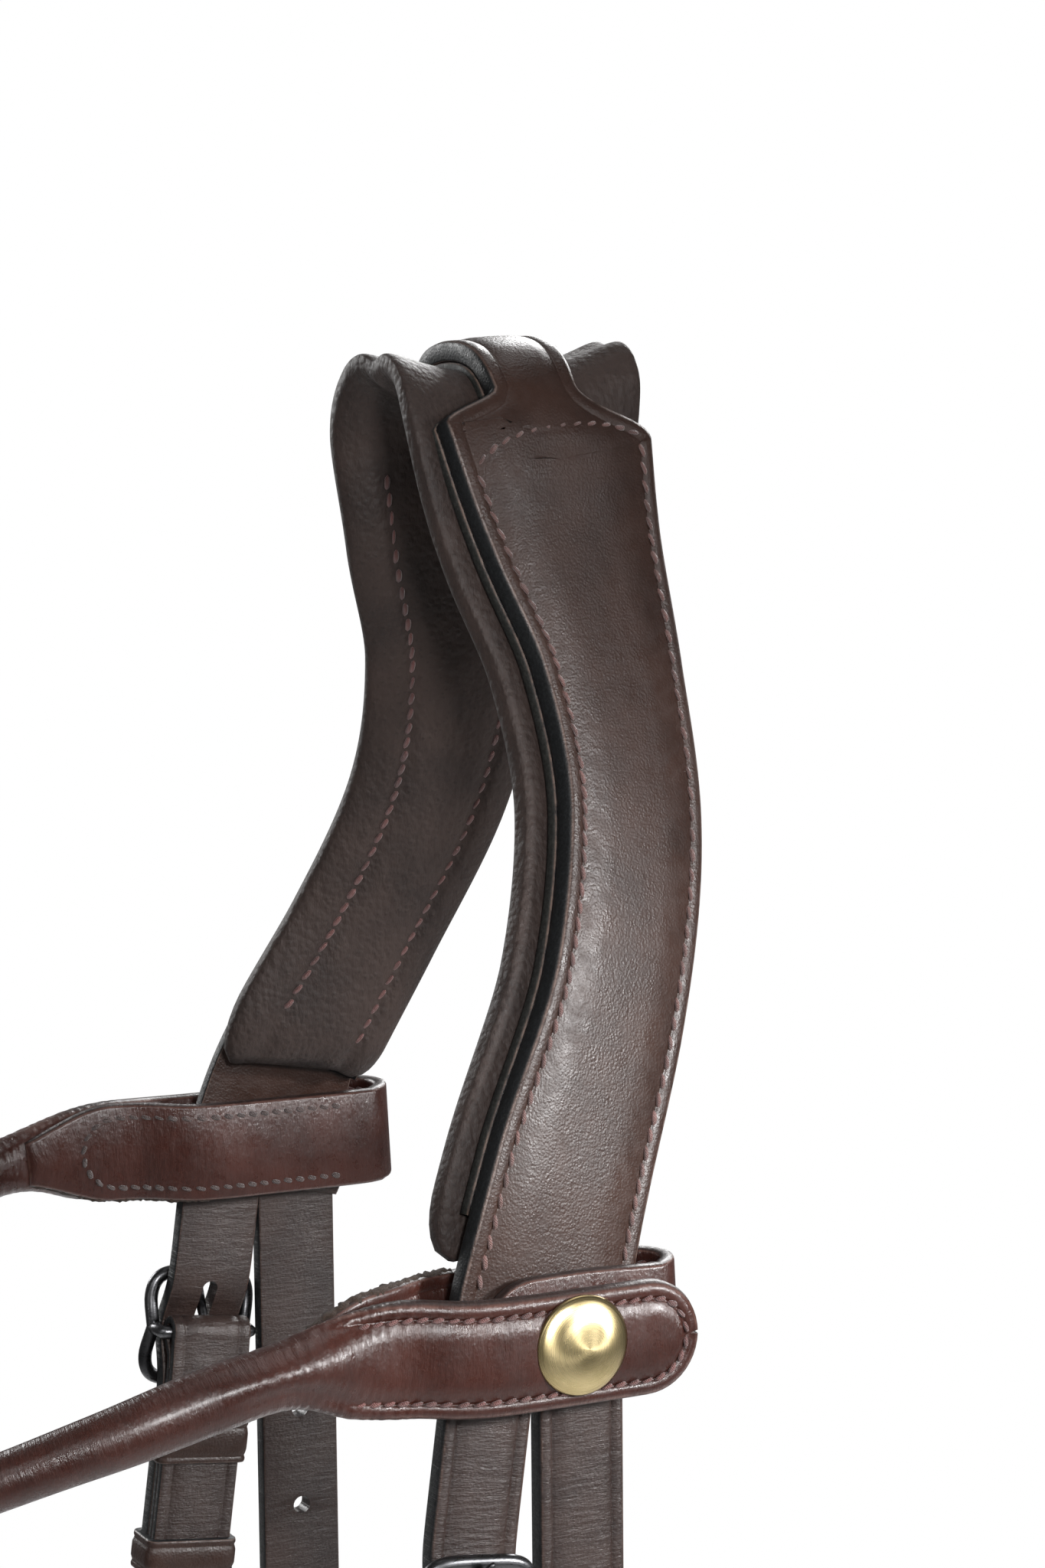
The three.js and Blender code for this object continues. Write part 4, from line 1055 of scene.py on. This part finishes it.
for name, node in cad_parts.items():
    if not node.hide_render:
        node.data.materials.clear()
        node.data.materials.append(BRASS if "stud" in name else BRIDLE)

# ---- Stage, light and camera ----
def disc_at(name, radius, z, colour):
    """A pale disc that fades out towards its rim."""
    mesh = bpy.data.meshes.new(name)
    turn = [math.tau * k / 96 for k in range(96)]
    mesh.from_pydata([(radius * math.cos(a), radius * math.sin(a), z) for a in turn], [], [tuple(range(96))])
    n = Nodes(name)
    at = n.add("ShaderNodeTexCoord").outputs["Object"]
    away = n.add("ShaderNodeVectorMath", {0: n.stretch(at, (1, 1, 0))}, operation="LENGTH").outputs["Value"]
    n.set(Base_Color=n.mix(n.noise(at, 40.0, 3), colour, [c * 0.97 for c in colour]), Roughness=0.9)
    n.set(Alpha=n.span(away, radius * 0.45, radius, 1.0, 0.0))
    mesh.materials.append(n.material)
    link(bpy.data.objects.new(name, mesh))


disc_at("floor", 1.0, -0.6, (0.92, 0.92, 0.92))
bpy.context.scene.view_settings.view_transform = "Standard"

# The world lights the object softly and is white to the camera.
world = bpy.data.worlds.new("studio")
bpy.context.scene.world = world
world.use_nodes = True
tree = world.node_tree
soft = tree.nodes["Background"]
plain = tree.nodes.new("ShaderNodeBackground")
for background, strength in ((soft, 0.13), (plain, 1.0)):
    background.inputs["Color"].default_value = (1, 1, 1, 1)
    background.inputs["Strength"].default_value = strength
either = tree.nodes.new("ShaderNodeMixShader")
tree.links.new(tree.nodes.new("ShaderNodeLightPath").outputs["Is Camera Ray"], either.inputs[0])
tree.links.new(soft.outputs[0], either.inputs[1])
tree.links.new(plain.outputs[0], either.inputs[2])
tree.links.new(either.outputs[0], tree.nodes["World Output"].inputs["Surface"])


def view_from(azimuth, elevation):
    """The unit vector from the object towards a viewer; azimuth 0 is in front of the horse."""
    a, e = math.radians(azimuth), math.radians(elevation)
    return np.array([math.sin(a) * math.cos(e), -math.cos(a) * math.cos(e), math.sin(e)])


def lamp(name, kind, aim, away, power):
    light = bpy.data.lights.new(name, kind)
    light.energy = power
    obj = link(bpy.data.objects.new(name, light))
    obj.rotation_mode = "QUATERNION"
    obj.location = Vector(aim) + Vector(away)
    obj.rotation_quaternion = Vector(away).to_track_quat("Z", "Y")
    return light


def area(name, azimuth, elevation, distance, wide, tall, power):
    light = lamp(name, "AREA", (0, -0.05, -0.15), view_from(azimuth, elevation) * distance, power)
    light.shape = "RECTANGLE"
    light.size, light.size_y = wide, tall


def spot(name, aim, away, power, size, angle):
    light = lamp(name, "SPOT", aim, away, power)
    light.shadow_soft_size, light.spot_size, light.spot_blend = size, math.radians(angle), 1.0


area("key", 79, 22, 0.5, 0.06, 0.06, 2.1)
area("front", 40, 34, 1.3, 0.45, 0.45, 2.6)
area("strip", 117, 4, 0.6, 0.06, 0.5, 0.5)
area("top", 200, 70, 1.8, 1.0, 1.0, 6)
area("back", 225, 28, 1.4, 0.5, 0.5, 17)
area("side", 285, 20, 1.5, 0.5, 0.5, 13)


spot("sheen", (0.055, -0.018, -0.125), (0.56, 0.5, 0.2), 60, 0.07, 16)
for k, turn in enumerate((20, 100, 190, 280)):
    turn = math.radians(turn)
    spot(f"low_{k}", (0, -0.09, -0.42), (1.1 * math.sin(turn), -1.1 * math.cos(turn), 0.3), 45, 0.15, 20)
spot("rear", (0, 0, -0.13), (-0.5, 0.9, 0.35), 22, 0.15, 24)


def aim_camera():
    azimuth, elevation, roll = 62.38, 8.33, math.radians(-3.12)
    aim, distance, lens = np.array([0, 0.32, -65.2]) * MM, 0.5997, 78.6
    back = view_from(azimuth, elevation)
    right = np.cross(-back, (0, 0, 1))
    right /= np.linalg.norm(right)
    up = np.cross(right, -back)
    r = right * math.cos(roll) + up * math.sin(roll)
    u = up * math.cos(roll) - right * math.sin(roll)
    data = bpy.data.cameras.new("camera")
    data.lens = lens
    data.clip_start = 0.01
    camera = link(bpy.data.objects.new("camera", data))
    place = aim + back * distance
    camera.matrix_world = Matrix([[r[i], u[i], back[i], place[i]] for i in range(3)] + [[0, 0, 0, 1]])
    bpy.context.scene.camera = camera


aim_camera()
